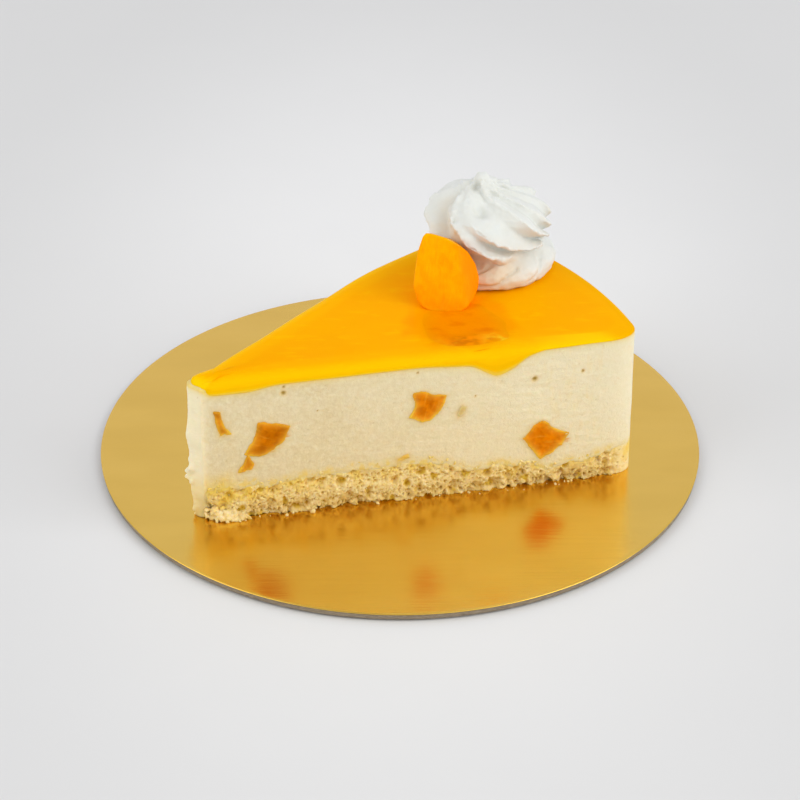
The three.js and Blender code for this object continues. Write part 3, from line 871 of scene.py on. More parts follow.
def syrup_look():
    """As the stained glaze at the pool's border, and darker inside it, with painted highlights."""
    look = Look("syrup", 0.16, 0.008, (0.25, 0.003, (1, 0.5, 0.05)), (1, 0.8, 0.3))
    deep = look.noted("deep")
    look.base = look.blend(deep, STAIN_COLOUR, (0.93, 0.255, 0.0))
    look.layer(look.patches((5, 3, 5), 0.5, 0.75, to_high=0.7), (0.82, 0.17, 0.0), deep)
    # Painted highlights where the pool catches the light
    look.layer("pale", (1.0, 0.61, 0.02))
    look.layer("dark", (0.55, 0.12, 0.0))
    look.raised(look.noise((3.5, 2, 3.5)), 0.06)
    return look.done()


def cream_look():
    look = Look("cream", 0.5, 0.25, (0.3, 0.002, (1, 0.9, 0.75)))
    look.base = look.blend(look.patches(6), (0.745, 0.76, 0.715), (0.715, 0.725, 0.675))
    look.layer("shade", (0.56, 0.56, 0.49))
    # Painted light and shade: a warm tint at the foot for orange light bounced from the glaze and fruit, and
    # in the valleys on the left
    look.layer("warm", (0.72, 0.60, 0.43))
    look.raised(look.noise(0.8, roughness=0.6), 0.06)
    return look.done(Roughness=look.patches(2, to_low=0.42, to_high=0.6))


def foil_look():
    look = Look("gold_foil", 0.26, Metallic=1.0, Coat_Weight=0.3, Coat_Roughness=0.25)
    look.base = look.blend(look.patches((30, 12, 30)), (0.878, 0.56, 0.08), (0.838, 0.529, 0.07))
    ripple = look.noise((26, 0.55, 26), roughness=0.6)
    look.raised(ripple, 0.02)
    look.raised(look.noise((9, 1.4, 9), detail=2), 0.022)
    return look.done(Roughness=look.ramp(ripple, 0.3, 0.7, 0.16, 0.26))


def board_look():
    look = Look("cardboard", 0.9)
    fibre = look.patches((1.5, 1.5, 0.25), detail=4, roughness=0.7)
    look.base = look.blend(fibre, (0.20, 0.15, 0.10), (0.36, 0.29, 0.20))
    look.raised(fibre, 0.06)
    return look.done()


def floor_look():
    look = Look("studio_floor", 0.9, 0.05)
    placing = {"Location": (0, -FLOOR_SQUEEZE * FLOOR_MIDDLE_Y, 0), "Scale": (1, FLOOR_SQUEEZE, 1)}
    squeezed = look.node("ShaderNodeMapping", {"Vector": look.place, **placing}).outputs[0]
    away = look.vector("LENGTH", squeezed, output="Value")
    # Painted light: the floor is lighter in the middle and darker further out
    look.base = look.blend(look.ramp(away, *FLOOR_FADE), FLOOR_MIDDLE, FLOOR_EDGE)
    look.layer(look.patches(30, detail=2), (0.6, 0.6, 0.6), 0.03)
    return look.done()


# The card: gold foil turned over the edge of a cardboard disc

def circle(sides):
    return np.array([direction(turn) for turn in np.arange(sides) * 360 / sides])


def turned(name, profile):
    """A closed turned body from [distance in from the card's edge, height] rows, from the low middle up."""
    rings = [columns(*((CARD_RADIUS - inset) * circle(CARD_SIDES)).T, height) for inset, height in profile]
    return ring_object(name, rings, (0, 0, profile[0][1]), (0, 0, profile[-1][1]))


def make_card():
    top = CARD_THICKNESS
    underside = [[inset, top - FOIL_THICKNESS] for inset in (74, 40, 10)]
    edge = [[inset, top - down] for inset, down in FOIL_EDGE]
    face = [[inset, top] for inset in np.linspace(1.6, CARD_RADIUS - 1.6, 50)]
    foil = turned("card_foil", [*underside, *edge, *face])
    points = places_of(foil)
    on_face = (points[:, 2] > top - 0.01) & (np.hypot(*points[:, :2].T) < CARD_RADIUS - 0.5)
    points[on_face, 2] -= 0.03 * (1 + cloud(points[on_face], (24, 9, 24), 2, 5))
    set_places(foil, points)
    finished(foil, foil_look(), "gold_card", "card")
    finished(turned("card_core", BOARD_PROFILE), board_look(), "gold_card", "card")


# The mousse

def make_mousse():
    bottom = mix(outline.sponge_top - 2.4, -0.08, outline.smear_reach)
    top = np.minimum(outline.glaze_edge + 1.2, mix(outline.glaze_edge, outline.glaze_top, 0.4))
    rings, notes = [], []
    for share in np.linspace(0, 1, MOUSSE_LEVELS):
        height = mix(bottom, top, share)
        ring = outline.ring(outline.foot_inset(height), height)
        smear = smooth(outline.behind + 1.3 * cloud(ring, 2.6, 3, 29), *SMEAR_NEAR) * outline.smear_end
        relief, marks = face_relief(ring, height)
        relief += edge_relief(ring, height, smear)
        ring[:, :2] += outline.outward * relief[:, None]
        rings.append(ring)
        marks |= {"crumby": clinging_crumb(ring, height, smear), "stain": glaze_stain(height)}
        # The nose mark also tints the nose strip lighter, as painted light
        # painted_light_far_end is painted light: lighter towards the far end of the near face
        notes.append(marks | {"nose": outline.nose, "painted_light_far_end": smooth(outline.near_at, 20, 100)})
    ends = [(SPONGE_FLAT_INSET, SPONGE_MIDDLE), (GLAZE_FLAT_INSET, GLAZE_UNDERSIDE + 1)]
    low_flat, high_flat = (outline.ring(inset, height) for inset, height in ends)
    low_end, high_end = lifted([outline.middle] * 2, [height for _, height in ends])
    thing = ring_object("mousse", [low_flat, *rings, high_flat], low_end, high_end)
    blank = np.zeros(outline.count)
    for name in notes[0]:
        note(thing, **{name: np.concatenate([blank, *(marks[name] for marks in notes), blank, [0, 0]])})
    finished(thing, mousse_look(), "mousse", "mousse")


def face_relief(ring, height):
    """How far the mousse stands out at a ring's points, where fruit and drag marks tint it, and where painted
    shade darkens its pores.
    """
    cut, is_near = outline.cut, outline.is_near
    near_place, back_place = columns(outline.near_at, height), columns(outline.back_at, height)
    drag_place = columns(outline.run, height, 0)
    relief = 0.22 * cloud(ring, 11, 2, 11) + 0.08 * cut * cloud(ring, 1.6, 3, 21)
    relief += 0.05 * cut * cloud(drag_place, (9, 0.8, 1), 3, 31)
    relief += 0.13 * is_near * smooth(outline.near_at, 78, 94) * cloud(drag_place, (2.4, 1.1, 1), 3, 33)

    to_fruit = outline.on_cut_faces(
        nearest_outline(near_place, NEAR_FRUIT),
        nearest_outline(back_place, BACK_FRUIT),
    )
    relief += 0.12 * trail(to_fruit, 0.6) - 1.6 * smooth(-to_fruit, 0.25, 1.1)
    halo = 0.7 * trail(to_fruit + 0.1, 0.5)
    near_pulled, back_pulled = near_place - (STREAK_REACH, 0), back_place - (STREAK_REACH, 0)
    near_streaks = nearest_outline(near_pulled, [NEAR_FRUIT[1], NEAR_FRUIT[5]])
    beside = outline.on_cut_faces(near_streaks, outline_distance(back_pulled, BACK_FRUIT[1]))
    streak = 0.85 * smooth(cloud(drag_place, (5, 0.9, 1), 3, 43), 0.12, 0.42) * trail(beside + 1, 0.7)
    beyond = outline.on_cut_faces(outline_distance(near_place - (LAST_STREAK_REACH, 0), NEAR_FRUIT[5]), 9)
    relief += 0.1 * cloud(drag_place, (6, 0.8, 1), 3, 47) * trail(beyond, 2.5)

    # Painted shade: pinholes and cut bubbles are coloured darker, where shade falls in them
    pinhole = cut * fade(cells(ring, 3.1, 41), 0.04, 0.09)
    relief -= 0.15 * pinhole
    painted_pore_shade = 0.3 * pinhole
    for at, up, radius in NEAR_PORES:
        away = np.hypot(outline.near_at - at, height - up) / radius
        hole = is_near * fade(away, 0.4, 1.4)
        relief -= 0.5 * radius * hole
        painted_pore_shade = np.maximum(painted_pore_shade, hole)
        halo = np.maximum(halo, 0.35 * is_near * fade(away, 1, 2.4))
    relief += 0.35 * outline.tip * ~is_near * cloud(ring, 4, 3, 51)
    uneven = height + 0.8 * cloud(ring, 2, 2, 61)
    for behind, up, reach, depth in TIP_LUMPS:
        relief += depth * ~is_near * bell(np.hypot(outline.behind - behind, uneven - up) / reach)
    return relief, {"halo": halo, "streak": streak, "painted_pore_shade": painted_pore_shade}


def edge_relief(ring, height, smear):
    """How far the mousse stands out or in by the sponge, at the nose's foot and under the glaze's edge."""
    above = height - outline.crumb_top
    under_sponge = mix(0.4 * smooth(-above, -0.1, 0.4), 1.3 * smooth(-above, 0.9, 2.2), outline.cut)
    under_sponge *= 1 - 0.85 * bell((outline.behind + 2.4) / 1.5)
    flecks = 0.3 * outline.by_tip * fade(above, 0.5, 4.5) * cloud(ring, 1.3, 3, 27)
    foot = 1.3 * outline.nose_foot * fade(height, 0.5, 11)
    under_glaze = 0.3 * smooth(height - outline.glaze_edge, 0, 0.6) * (1 - outline.nose)
    return 0.2 * smear * smooth(-above, -1, 1) - under_sponge * (1 - smear) + flecks - foot - under_glaze


def clinging_crumb(ring, height, smear):
    """Where crumbs tint the mousse: above the sponge, beside the smear and at the foot of the nose."""
    speck = 0.35 + 0.65 * smooth(cloud(ring, 1.1, 2, 19), -0.1, 0.35)
    over_sponge = fade(height - outline.crumb_top, -0.2, mix(2.4, 6, outline.near_tip))
    over_sponge *= mix(0.9, 1, outline.near_tip) * (1 - 0.5 * smear)
    by_smear = bell((outline.behind + 2.2) / 2.4) * fade(height, 6, 13)
    mottled = np.maximum(speck, 0.8 * outline.near_tip) * np.maximum(over_sponge, by_smear)
    return np.maximum(mottled, 0.75 * outline.nose * fade(height, 0.5, 5))


def glaze_stain(height):
    """Where glaze tints the mousse: under its edge, and scraped down the near face by the rim."""
    scraped = smooth(cloud(columns(outline.run, height, 0), (0.8, 3.4, 1), 3, 23), 0.1, 0.45)
    rim_side = outline.is_near * smooth(outline.near_at, 86, 97)
    return 0.8 * trail(outline.glaze_edge - height, 0.6) + 0.1 * rim_side * scraped


# The glaze

def make_glaze():
    curve = spline(GLAZE_SIDE, 6)
    keep = np.concatenate([[True], distance(curve[1:], curve[:-1]) > 1e-6])
    blank, thin_by_cut = np.zeros(outline.count), mix(0.1, 1, outline.cut)
    rings, thin, fringe = [outline.ring(GLAZE_FLAT_INSET, GLAZE_UNDERSIDE + 0.5)], [blank], [blank + 1]
    for inset, share in curve[keep]:
        flush = np.where(outline.is_rim, max(inset, 0), inset)
        flush = flush + NOSE_GLAZE_INSET * outline.nose * fade(inset, 1, 4)
        height = mix(outline.glaze_edge, outline.glaze_top, share)
        ring = outline.ring(blurred(flush, 4) if inset < 0 else flush, height)
        ring[:, 2] += 0.06 * cloud(ring, 13, 2, 71) * smooth(share, 0.05, 0.5)
        rings.append(ring)
        low = fade(height - outline.glaze_edge, 0, 1.6)
        thin.append(mix(0.65 - 0.5 * smooth(inset, -0.1, 5), 1, low) * thin_by_cut + 0.5 * outline.nose)
        fringe.append(0.8 * fade(share, 0.02, 0.24) * outline.cut)
    flat = outline.ring(GLAZE_FLAT_INSET, GLAZE_TOP)
    low_end, high_end = lifted([outline.middle] * 2, [GLAZE_UNDERSIDE + 0.5, GLAZE_TOP])
    for number, share in enumerate(np.linspace(0, 1, 28)[1:-1]):
        ring = mix(flat, high_end, share)
        ring[:, 2] += 0.06 * cloud(ring, 13, 2, 71)
        rings.append(ring)
        thin.append(0.15 * thin_by_cut * fade(number, -1, 3))
        fringe.append(blank)
    thing = ring_object("glaze", rings, low_end, high_end)
    note(thing, thin=np.clip(np.concatenate([*thin, [0, 0]]), 0, 1), fringe=np.concatenate([*fringe, [0, 0]]))
    finished(thing, glaze_look(), "glaze", "glaze")


# The sponge

def above_card(points):
    return points[:, 2] - CARD_THICKNESS


def by_apex(points, full, gone):
    """1 near the apex, and less and less between two distances from it."""
    return fade(distance(points[:, :2], APEX), full, gone)


def crumb_holes(points):
    """The sponge's open holes: 1 in the middle of a hole, 0 in the walls between them."""
    warped = points * (1, 1, 0.8) + 0.9 * cloud(points, 2.4, 2, 87)[:, None]
    return fade(cells(warped, 3.3, 91), 0.16, 0.5) * (1 - 0.8 * by_apex(points, 6, 11))


def crumb_depth(points):
    """How far in the cut sponge's surface lies: fine crumb, with open holes in it, ragged at its foot."""
    height = above_card(points)
    small = fade(cells(points, 1.5, 95), 0.16, 0.46)
    grain = np.abs(cloud(points, 0.9, 3, 101))
    foot = fade(height, 0.3, 3.4) * smooth(height, -1.2, 1.2)
    hanging = smooth(cloud(points, 1.9, 3, 105), -0.25, 0.35)
    rough = 0.4 * small + (0.75 + 0.5 * foot) * grain + foot * (1.1 - 2 * hanging)
    return 0.1 - 0.4 * cloud(points, 5, 2, 81) + crumb_holes(points) + rough


def sponge_yellow(points, share):
    """How rich the sponge's colour is: most near its top and near the tip, least where crumbs hang loose."""
    off_foot = smooth(above_card(points) + cloud(points, 2, 2, 113), 2.2, 4.4)
    return np.clip(0.8 * smooth(share, 0.2, 0.8) + 0.8 * by_apex(points, 6, 26) * off_foot, 0, 1)


def sponge_foot_shade(points):
    """Painted shade: the sponge's foot is a little darker than the rest, in soft columns, and less so near
    the apex.
    """
    column = smooth(cloud(points, (3.2, 3.2, 9), 3, 109), -0.4, 0.5)
    low = fade(above_card(points) + cloud(points, 2, 2, 107), 2, 6)
    return mix(0.3, 1, column) * low * (1 - 0.8 * by_apex(points, 8, 20))


def make_sponge():
    fine = Outline(FINE_STEP)
    top = mix(fine.sponge_top + 2 * fine.cut + CRUMB_RISE_AT_TIP * fine.by_tip, 3, fine.smear**4)
    rings, yellow = [], []
    for share in np.linspace(0, 1, SPONGE_LEVELS):
        height = share * top
        ring = fine.ring(fine.foot_inset(height), height)
        under = fine.crumb_top - height
        rim_pore = (1 - fine.cut) * fade(cells(ring, 1.7, 111), 0.08, 0.3)
        to_top = 0.9 * smooth(-under, -1, 1.4) + 1.2 * smooth(-under, 0.8, 2) - 0.15 * fade(under, 1, 3)
        inset = fine.cut * (crumb_depth(ring) * (1 - 0.45 * fade(under, 0.5, 2.5)) + to_top)
        inset += 0.3 * rim_pore + fine.under_nose(height)
        inset = mix(inset, np.maximum(inset, 0.15), fine.smear)
        ring[:, :2] -= fine.outward * np.clip(inset, -0.9, 2.6)[:, None]
        ring[:, 2] = np.maximum(ring[:, 2], CARD_THICKNESS)
        rings.append(ring)
        yellow.append(sponge_yellow(ring, share))
    rings.append(fine.ring(SPONGE_FLAT_INSET, SPONGE_MIDDLE))
    thing = ring_object("sponge", rings, *lifted([fine.middle] * 2, [0, SPONGE_MIDDLE]))
    points = places_of(thing)
    on_cut = np.concatenate([*[fine.cut] * len(rings), [0, 0]])
    note(
        thing,
        # deep is painted shade: darker in hollows of the cut face, less near the apex
        deep=smooth(hollowness(thing), -0.02, 0.26) * (1 - 0.75 * by_apex(points, 8, 20)),
        # pit is painted shade inside the holes
        pit=on_cut * smooth(crumb_holes(points), 0.1, 0.9),
        # low is painted shade at the sponge's foot
        low=sponge_foot_shade(points) * mix(0.25, 1, on_cut),
        yellow=np.concatenate([*yellow, np.zeros(fine.count + 2)]),
    )
    finished(thing, sponge_look("sponge"), "sponge", "sponge")


# Crumbs

def random_turns(count, rng):
    """Random rotation matrices."""
    q = rng.normal(size=(count, 4))
    w, x, y, z = (q / np.linalg.norm(q, axis=1)[:, None]).T
    rows = [
        [1 - 2 * (y * y + z * z), 2 * (x * y - z * w), 2 * (x * z + y * w)],
        [2 * (x * y + z * w), 1 - 2 * (x * x + z * z), 2 * (y * z - x * w)],
        [2 * (x * z - y * w), 2 * (y * z + x * w), 1 - 2 * (x * x + y * y)],
    ]
    return np.moveaxis(np.array(rows), 2, 0)


def crumb_cloud(name, centres, radii, rng, divisions, uneven):
    """Many small uneven lumps as one object."""
    shell = bmesh.new()
    bmesh.ops.create_icosphere(shell, subdivisions=divisions, radius=1)
    ball = np.array([vertex.co[:] for vertex in shell.verts])
    faces = np.array([[vertex.index for vertex in face.verts] for face in shell.faces])
    shell.free()
    count = len(centres)
    stretch = rng.uniform(0.65, 1.35, (count, 1, 3))
    bulge = 1 + uneven * rng.uniform(-1, 1, (count, len(ball), 1))
    local = ball * bulge * stretch * radii[:, None, None]
    points = np.einsum("nij,nkj->nki", random_turns(count, rng), local) + centres[:, None]
    faces = faces + (np.arange(count) * len(ball))[:, None, None]
    return mesh_object(name, points.reshape(-1, 3), [faces.reshape(-1, 3)])


def standing_crumbs(rng):
    """Crumbs that stand out of the cut faces: their middles and radii."""
    chance = outline.cut * (1 - outline.smear)
    cut_places = np.flatnonzero(chance > 0.02)
    count = int(len(cut_places) * PLACE_STEP * CRUMB_FACE_HEIGHT * CRUMBS_PER_SQUARE_MM)
    place = rng.choice(cut_places, count)
    place = place[rng.random(count) < chance[place]]
    count = len(place)
    radius = 0.14 + 0.32 * rng.random(count) ** 2.5
    share = np.where(rng.random(count) < 0.2, rng.uniform(0.9, 1.1, count), rng.random(count) ** 1.3)
    tip_over = 2.2 * outline.near_tip[place] * rng.random(count)
    over = rng.uniform(-0.4, 0.2, count) + 1.2 * rng.random(count) ** 3 + tip_over
    height = np.maximum(share * (outline.crumb_top[place] + over), radius * 0.7)
    on_face = lifted(outline.xy[place], height)
    radius *= 1 - 0.6 * smooth(crumb_holes(on_face), 0.2, 0.7)
    inset = np.clip(crumb_depth(on_face), -0.9, 1.4) - 0.5 * radius * rng.uniform(-1, 1, count)
    inset = np.where(height > outline.crumb_top[place] - 0.3, rng.uniform(0, 0.3, count), inset)
    inset += outline.under_nose(height, place)
    plan = outline.xy[place] - outline.outward[place] * inset[:, None] + rng.uniform(-0.25, 0.25, (count, 2))
    return lifted(plan, height), radius


def heaped_crumbs(rng):
    """The heap of crumbs at the tip: their middles and radii."""
    at = np.maximum(rng.normal(*TIP_HEAP, TIP_HEAP_CRUMBS), 4.4)
    out = rng.uniform(-1, 0.7, TIP_HEAP_CRUMBS) - 1.3 * fade(at, 4, 9)
    plan = APEX + np.outer(at, direction(NEAR_CUT_DEG)) + np.outer(out, direction(NEAR_CUT_DEG - 90))
    height = 0.3 + 2 * rng.random(TIP_HEAP_CRUMBS) * np.clip(0.75 - out, 0, 1.6)
    return lifted(plan, height), rng.uniform(0.25, 0.8, TIP_HEAP_CRUMBS)


def make_crumbs():
    """Crumb that stands out of the sponge's cut faces, grown together into one skin."""
    rng = np.random.default_rng(7)
    parts = [standing_crumbs(rng), heaped_crumbs(rng)]
    centres, radii = (np.concatenate(values) for values in zip(*parts))
    thing = remeshed(crumb_cloud("sponge_crumb", centres, radii, rng, 1, 0.45), CRUMB_VOXEL)
    points = places_of(thing)
    points += normals_of(thing) * (0.12 * cloud(points, 0.7, 2, 121))[:, None]
    points[:, 2] = np.maximum(points[:, 2], CARD_THICKNESS + 0.01)
    set_places(thing, points)
    # Painted shade: darker in hollows and further in from the outline, less near the apex
    deep = 0.4 * smooth(outline.inside(points), 0.3, 1.5) + smooth(hollowness(thing), 0.02, 0.25)
    note(
        thing,
        deep=np.clip(deep, 0, 1) * (1 - 0.75 * by_apex(points, 8, 20)),
        # pit is painted shade inside the holes
        pit=0.7 * crumb_holes(points),
        # low is painted shade at the crumbs' foot
        low=sponge_foot_shade(points),
        yellow=sponge_yellow(points, above_card(points) / SPONGE_MIDDLE),
    )
    finished(thing, sponge_look("sponge_crumb"), "sponge")


def make_loose_crumbs():
    """Crumbs that fell off the cut faces and lie on the card."""
    rng = np.random.default_rng(19)
    place = rng.choice(np.flatnonzero((outline.cut > 0.5) & (outline.tip < 0.4)), LOOSE_CRUMBS)
    away = 0.3 + 1.9 * rng.random(LOOSE_CRUMBS) ** 3
    placed = np.array(PLACED_CRUMBS)
    plan = np.vstack([placed[:, :2], outline.xy[place] + outline.outward[place] * away[:, None]])
    radii = np.concatenate([placed[:, 2], 0.14 + 0.26 * rng.random(LOOSE_CRUMBS) ** 2])
    thing = crumb_cloud("loose_crumbs", lifted(plan, radii * 0.6), radii, rng, 2, 0.35)
    applied(thing, "SMOOTH", factor=0.5, iterations=1)
    # The loose crumbs take a fixed share of the foot's darker colour all over
    note(thing, deep=0, pit=0, low=0.4, yellow=0)
    finished(thing, sponge_look("loose_crumb"), "sponge")


# Fruit

def make_cut_mango():
    """The cut pieces in the two faces."""
    for number, (shape, look) in enumerate(zip(NEAR_FRUIT, NEAR_LOOKS), 1):
        make_cut_piece(f"mango_near_{number}", number, shape, look, NEAR_CUT_DEG, NEAR_CUT_DEG - 90, 0)
    for number, shape in enumerate(BACK_FRUIT, 1):
        node = f"mango_back_{number}"
        make_cut_piece(node, number, shape, CUT_MANGO, BACK_CUT_DEG, BACK_CUT_DEG + 90, BACK_CUT_OUTWARD)


def make_cut_piece(node, number, shape, look, along_deg, out_deg, face):
    """One cut piece, a little proud of its face, with soft edges, drawn-out corners and fibres along it."""
    thing = remeshed(linked(f"cut_{node}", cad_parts[node].data.copy()), 0.2, rounds=1)
    points = places_of(thing)
    face_along, face_out = direction(along_deg), direction(out_deg)
    out = (points[:, :2] - APEX) @ face_out - face
    on_face = columns((points[:, :2] - APEX) @ face_along, above_card(points))
    grown = 0.16 + 0.16 * cloud(points, 1.6, 3, 131 + number)
    points += normals_of(thing) * (0.14 + 0.3 * cloud(points, 1.5, 2, 137))[:, None]
    points[:, :2] += face_out * (smooth(out, -1.2, -0.2) * grown)[:, None]
    for pulled, corner, (sideways, up), reach in FRUIT_PULLS:
        if pulled == node:
            near_corner = bell(distance(on_face, corner, reach))
            points[:, :2] += face_along * (near_corner * sideways)[:, None]
            points[:, 2] += near_corner * up
    set_places(thing, points)
    fibre_deg = 35 + 40 * number
    fibre = columns(on_face @ direction(-fibre_deg), on_face @ direction(90 - fibre_deg), out)
    heights = [up for _, up in shape]
    low = fade(on_face[:, 1], min(heights), max(heights))
    rim = trail(-outline_distance(on_face, shape), 0.7)
    note(thing, fibre=fibre * MM, edge=np.clip(rim * (0.45 + 0.55 * low), 0, 1), side=0)
    finished(thing, mango_look(*look), "mango", node)


def topping_ring(spread, reach, share, place):
    """One ring of the wedge in its own frame: across, up, and behind its front."""
    flat = TOPPING_MIDDLE + spread * share
    beyond = flat[:, 0] - at_row(TOPPING_RIDGE, flat[:, 1])
    beyond = 0.5 * (beyond + np.sqrt(beyond**2 + TOPPING_RIDGE_SOFT**2)) - 0.25 * TOPPING_RIDGE_SOFT
    behind = place + (TOPPING_SIDE_FALL * beyond + 0.05 * flat[:, 0]) * fade(place, 4, 9)
    own = np.column_stack([flat, behind])
    dents = 0.3 * cloud(own, (1.3, 12, 1.3), 3, 141) + 0.55 * cloud(own, 6, 3, 151)
    own[:, 2] -= dents * smooth(1 - share, 0, 0.1)
    own[:, :2] += spread / reach * (0.18 * cloud(own, 3, 3, 153))[:, None] * smooth(share, 0.8, 1)
    own[:, 0] -= TOPPING_TAPER * place * smooth(flat[:, 0], -1, 5)
    return own


def make_topping():
    """A wedge of mango: its front leans back, and its right side turns away along a ridge."""
    corners = [*TOPPING_OUTLINE, TOPPING_OUTLINE[0]]
    edge, _ = even_steps(np.vstack([straight(a, b)[:-1] for a, b in zip(corners, corners[1:])]), 0.3)
    edge = mix(blurred(edge, 1), blurred(edge, 5), fade(edge[:, 1:], 2, 8))[::-1]
    spread = edge - TOPPING_MIDDLE
    reach = np.linalg.norm(spread, axis=1).mean()
    soft, thick = TOPPING_ROUND, TOPPING_THICKNESS
    stack = [(share, 0) for share in np.linspace(0.03, 1 - soft / reach, 32)]
    for bend in np.linspace(0, math.pi / 2, 6)[1:]:
        stack.append((1 - soft * (1 - math.sin(bend)) / reach, soft * (1 - math.cos(bend))))
    stack += [(1, place) for place in np.linspace(soft, thick - soft, 28)[1:]]
    stack += [(share, thick - soft * share**12) for share in np.linspace(0.97, 0.05, 24)]

    across, back = (np.array([*direction(TOPPING_TURN_DEG + turn), 0]) for turn in (0, 90))
    lean_along, lean_up = direction(TOPPING_LEAN_DEG)
    up, depth = back * lean_up + (0, 0, lean_along), back * lean_along - (0, 0, lean_up)
    axes = np.array([across, up, depth])
    foot = np.array([*TOPPING_FOOT, CREAM_BASE])
    rings = [topping_ring(spread, reach, share, place) @ axes + foot for share, place in stack[::-1]]
    thing = ring_object("topping_mango", rings, rings[0].mean(axis=0), rings[-1].mean(axis=0))
    points = places_of(thing)
    own = (points - foot) @ axes.T
    points[:, 2] = np.maximum(points[:, 2], CREAM_BASE - 0.05)
    set_places(thing, points)
    # Painted shade: darker on the right side, which turns away from the light, and at the foot; the edge mark
    # makes it paler towards its top left
    side = smooth(own[:, 0] - at_row(TOPPING_RIDGE, own[:, 1]), -2, 2.6)
    low = 0.7 * fade(own[:, 1] + 0.6 * cloud(own, 3, 3, 157), 0.5, 6)
    high = 0.5 * smooth(own[:, 1], 14, 19) * fade(own[:, 0], -6, 2)
    note(thing, fibre=own * MM, side=np.maximum(side, low), edge=high)
    look = mango_look("topping_mango", (1.0, 0.42, 0.0), (1.0, 0.34, 0.0), (1.0, 0.51, 0.002), 0.1, 0.45, 0.8)
    finished(thing, look, "mango", "mango_topping")


def make_syrup():
    """A thin pool of syrup on the glaze, from the outline in towards its middle."""
    centre = np.mean(SYRUP_OUTLINE, axis=0)
    edge, _ = even_steps(spline([*SYRUP_OUTLINE, *SYRUP_OUTLINE[:2]], 20)[: 20 * len(SYRUP_OUTLINE)], 0.4)
    rings = [lifted(mix(centre, edge, 0.5), GLAZE_TOP - 0.5)]
    for share in [1, 0.99, 0.975, 0.955, *np.linspace(0.93, 0.05, 40)]:
        ring = lifted(mix(centre, edge, share), GLAZE_TOP)
        inside = (1 - share) * distance(edge, centre)
        ring[:, 2] += 0.36 * smooth(inside, 0, 6) - 0.12 - 0.25 * fade(outline.inside(ring), 2, 5)
        ring[:, 2] += 0.15 * smooth(inside, 1.5, 6) * cloud(ring, (4.5, 2.4, 4), 4, 161)
        rings.append(ring)
    thing = ring_object("syrup_pool", rings, *lifted([centre] * 2, [GLAZE_TOP - 0.5, GLAZE_TOP + 0.34]))
    points = places_of(thing)
    plan = points[:, :2]
    inside = -outline_distance(plan, edge)
    border = smooth(inside + 1.2 * cloud(points, (5, 3, 5), 3, 165), 0.2, 4)
    deep = fade(distance(plan, *SYRUP_DEEP) + 0.25 * cloud(points, (6, 4, 6), 4, 163), 0.5, 1.5)
    # Painted highlights: paler glints in the pool
    pale = np.max([bell(distance(plan, at, reach)) for at, reach in SYRUP_GLINTS], axis=0)
    pale *= smooth(cloud(points, (3, 2, 3), 3, 167), -0.25, 0.15) * smooth(inside, 0, 0.8)
    dark = bell(distance(plan, *SYRUP_SPOT)) * smooth(cloud(points, (3, 1.6, 3), 3, 169), -0.3, 0.3)
    note(thing, deep=deep * border, pale=0.9 * pale, dark=0.9 * dark)
    finished(thing, syrup_look(), "glaze")


# Cream

def cream_radius(turns, height):
    """The rosette's radius in each direction at a height: a long face from each crest down to a valley,
    and a hollow face from there up to the next crest."""
    whole = at_row(CREAM_PROFILE, height)
    ridged = smooth(height, 5.5, 9) * smooth(whole, 0, 9)
    ridges = [(at_row(path, height) % 360, at_row(depths, height), low) for depths, low, path in CREAM_RIDGES]
    crests, depths, valleys = np.array(sorted(ridges)).T
    before = (np.searchsorted(crests, turns, side="right") - 1) % len(crests)
    gap = (crests[(before + 1) % len(crests)] - crests[before]) % 360
    share = ((turns - crests[before]) % 360) / gap
    valley = valleys[before]
    face = (share / valley) ** 1.6
    hollow = np.clip((1 - share) / (1 - valley), 0, 1) ** 0.6
    return whole - depths[before] * ridged * np.where(share < valley, face, hollow)


def cream_middle(height):
    """The leaning rosette's middle at a height above its base."""
    return columns(CREAM_CENTRE[0] + CREAM_LEAN * (height / CREAM_TOP) ** 2, CREAM_CENTRE[1])


def cream_dent(points, mark):
    """How far points are from a mark on the rosette, in reaches."""
    turn, away, up, reach, _ = mark
    place = cream_middle(up)[0] + away * direction(turn)
    return distance(points, (*place, CREAM_BASE + up), reach)


def cream_growth(points, hollow):
    """How far the rosette's skin is raised or drawn in: soft lumps, ragged crests, tears and fold lines."""
    height = points[:, 2] - CREAM_BASE
    low = fade(height, 5, 8)
    grow = (0.3 + 0.4 * low) * cloud(points, 5, 2, 171) + 0.12 * (1 + low) * cloud(points, 1.4, 3, 181)
    grow += 1.1 * smooth(height, 18.5, 23) * (0.45 - np.abs(cloud(points, 3, 3, 191)))
    crest = smooth(-hollow, 0.01, 0.1) * smooth(height, 7, 10)
    grow += crest * (0.9 * cloud(points, 1.6, 3, 195) + 0.5 * cloud(points, 3.5, 2, 197))
    for mark in [*CREAM_DENTS, *CREAM_TEARS]:
        grow += mark[-1] * bell(cream_dent(points, mark))
    for path, width, depth in CREAM_CREASES:
        steps = np.linspace(path[0][0], path[-1][0], 40)
        heights = at_row(path, steps)
        radii = at_row(CREAM_PROFILE, heights)
        rows = zip(radii, steps, heights)
        line = [(*polar(CREAM_CENTRE, radius, step), CREAM_BASE + up) for radius, step, up in rows]
        grow -= depth * bell(np.min([distance(points, place, width) for place in line], axis=0))
    return grow


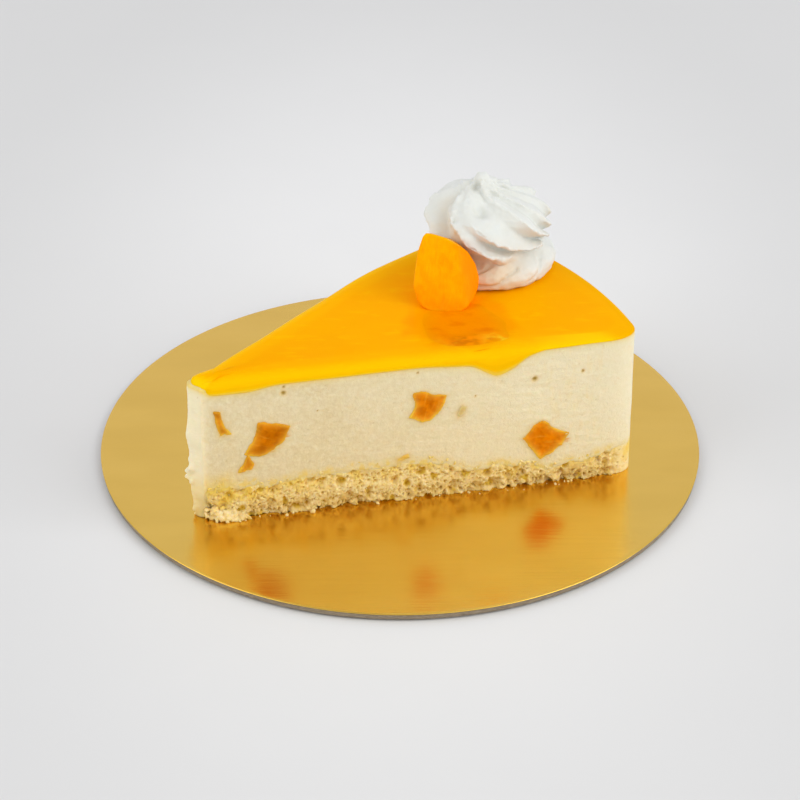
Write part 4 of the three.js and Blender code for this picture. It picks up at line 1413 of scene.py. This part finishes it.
def make_cream():
    round_place = circle(CREAM_SIDES)
    turns = np.arange(CREAM_SIDES) * 360 / CREAM_SIDES
    rings = []
    for height in np.linspace(0, CREAM_TOP, CREAM_LEVELS):
        plan = cream_middle(height) + round_place * cream_radius(turns, height)[:, None]
        rings.append(columns(*plan.T, CREAM_BASE + height))
    ends = [(*cream_middle(height)[0], CREAM_BASE + height) for height in (0, CREAM_TOP)]
    thing = remeshed(ring_object("piped_rosette", rings, *ends), 0.28, rounds=1)
    points = places_of(thing)
    points += normals_of(thing) * cream_growth(points, hollowness(thing))[:, None]
    points[:, 2] = np.clip(points[:, 2], CREAM_BASE - 0.1, CREAM_BASE + CREAM_TOP + 0.6)
    set_places(thing, points)
    applied(thing, "SMOOTH", factor=0.5, iterations=1)
    points = places_of(thing)
    height = points[:, 2] - CREAM_BASE
    shade = np.max([np.exp(-(cream_dent(points, mark) ** 4)) for mark in CREAM_DENTS], axis=0)
    # Painted light and shade: orange bounce near the foot, and a darker warm tint in the left valleys
    orange_bounce = fade(distance(points, CREAM_BOUNCE_AT), 7, 20) * fade(height, 6, 11)
    from_axis = distance(points[:, :2], cream_middle(np.maximum(height, 0)))
    valley = smooth(at_row(CREAM_PROFILE, height) - from_axis, 1, 4)
    warm = orange_bounce + 0.3 * valley * fade(points[:, 0] - CREAM_CENTRE[0], -12, -6) * fade(height, 19, 23)
    note(thing, shade=0.7 * shade, warm=np.clip(warm, 0, 1))
    finished(thing, cream_look(), "cream", "cream_rosette")


# Studio

def make_floor():
    corners = FLOOR_REACH * np.array([(-1, -1, 0), (1, -1, 0), (1, 1, 0), (-1, 1, 0)])
    floor = mesh_object("floor", corners, [np.array([[0, 1, 2, 3]])])
    floor.location.z = -FLOOR_BELOW * MM
    floor.data.materials.append(floor_look())


def make_world():
    world = bpy.data.worlds.new("studio")
    bpy.context.scene.world = world
    nodes = Nodes(world)
    place = nodes.node("ShaderNodeTexCoord", {}).outputs["Generated"]
    height = nodes.node("ShaderNodeSeparateXYZ", {0: place}).outputs["Z"]
    sky = nodes.node("ShaderNodeValToRGB", {0: height})
    stops = sky.color_ramp.elements
    stops[0].position, stops[0].color = WORLD_STOPS[0]
    stops[1].position, stops[1].color = WORLD_STOPS[-1]
    for position, colour in WORLD_STOPS[1:-1]:
        stops.new(position).color = colour
    towards_end = nodes.ramp(nodes.vector("DOT_PRODUCT", place, ROOM_END, "Value"), *ROOM_END_FADE)
    background = nodes.tree.nodes["Background"]
    nodes.plug(background, "Color", nodes.blend(towards_end, sky.outputs[0], ROOM_END_COLOUR))
    nodes.plug(background, "Strength", 1)


def make_softboxes():
    """Square soft lights that look at the slice."""
    for name, at, size, power in SOFTBOXES:
        light = bpy.data.lights.new(name, "AREA")
        light.shape = "SQUARE"
        light.size = size
        light.energy = power
        lamp = linked(name, light)
        lamp.location = at
        lamp.rotation_euler = (Vector(LIT_PLACE) - Vector(at)).to_track_quat("-Z", "Y").to_euler()


def make_camera():
    data = bpy.data.cameras.new("camera")
    data.lens = CAMERA_LENS
    data.sensor_width = CAMERA_SENSOR
    data.clip_start = 0.01
    camera = linked("camera", data)
    camera.location = CAMERA_AT
    camera.rotation_euler = (math.radians(90 - CAMERA_DOWN_DEG), 0, 0)
    bpy.context.scene.camera = camera
    bpy.context.scene.view_settings.view_transform = "Standard"


make_camera()
make_floor()
make_world()
make_softboxes()
make_card()
make_sponge()
make_crumbs()
make_loose_crumbs()
make_mousse()
make_cut_mango()
make_glaze()
make_syrup()
make_cream()
make_topping()
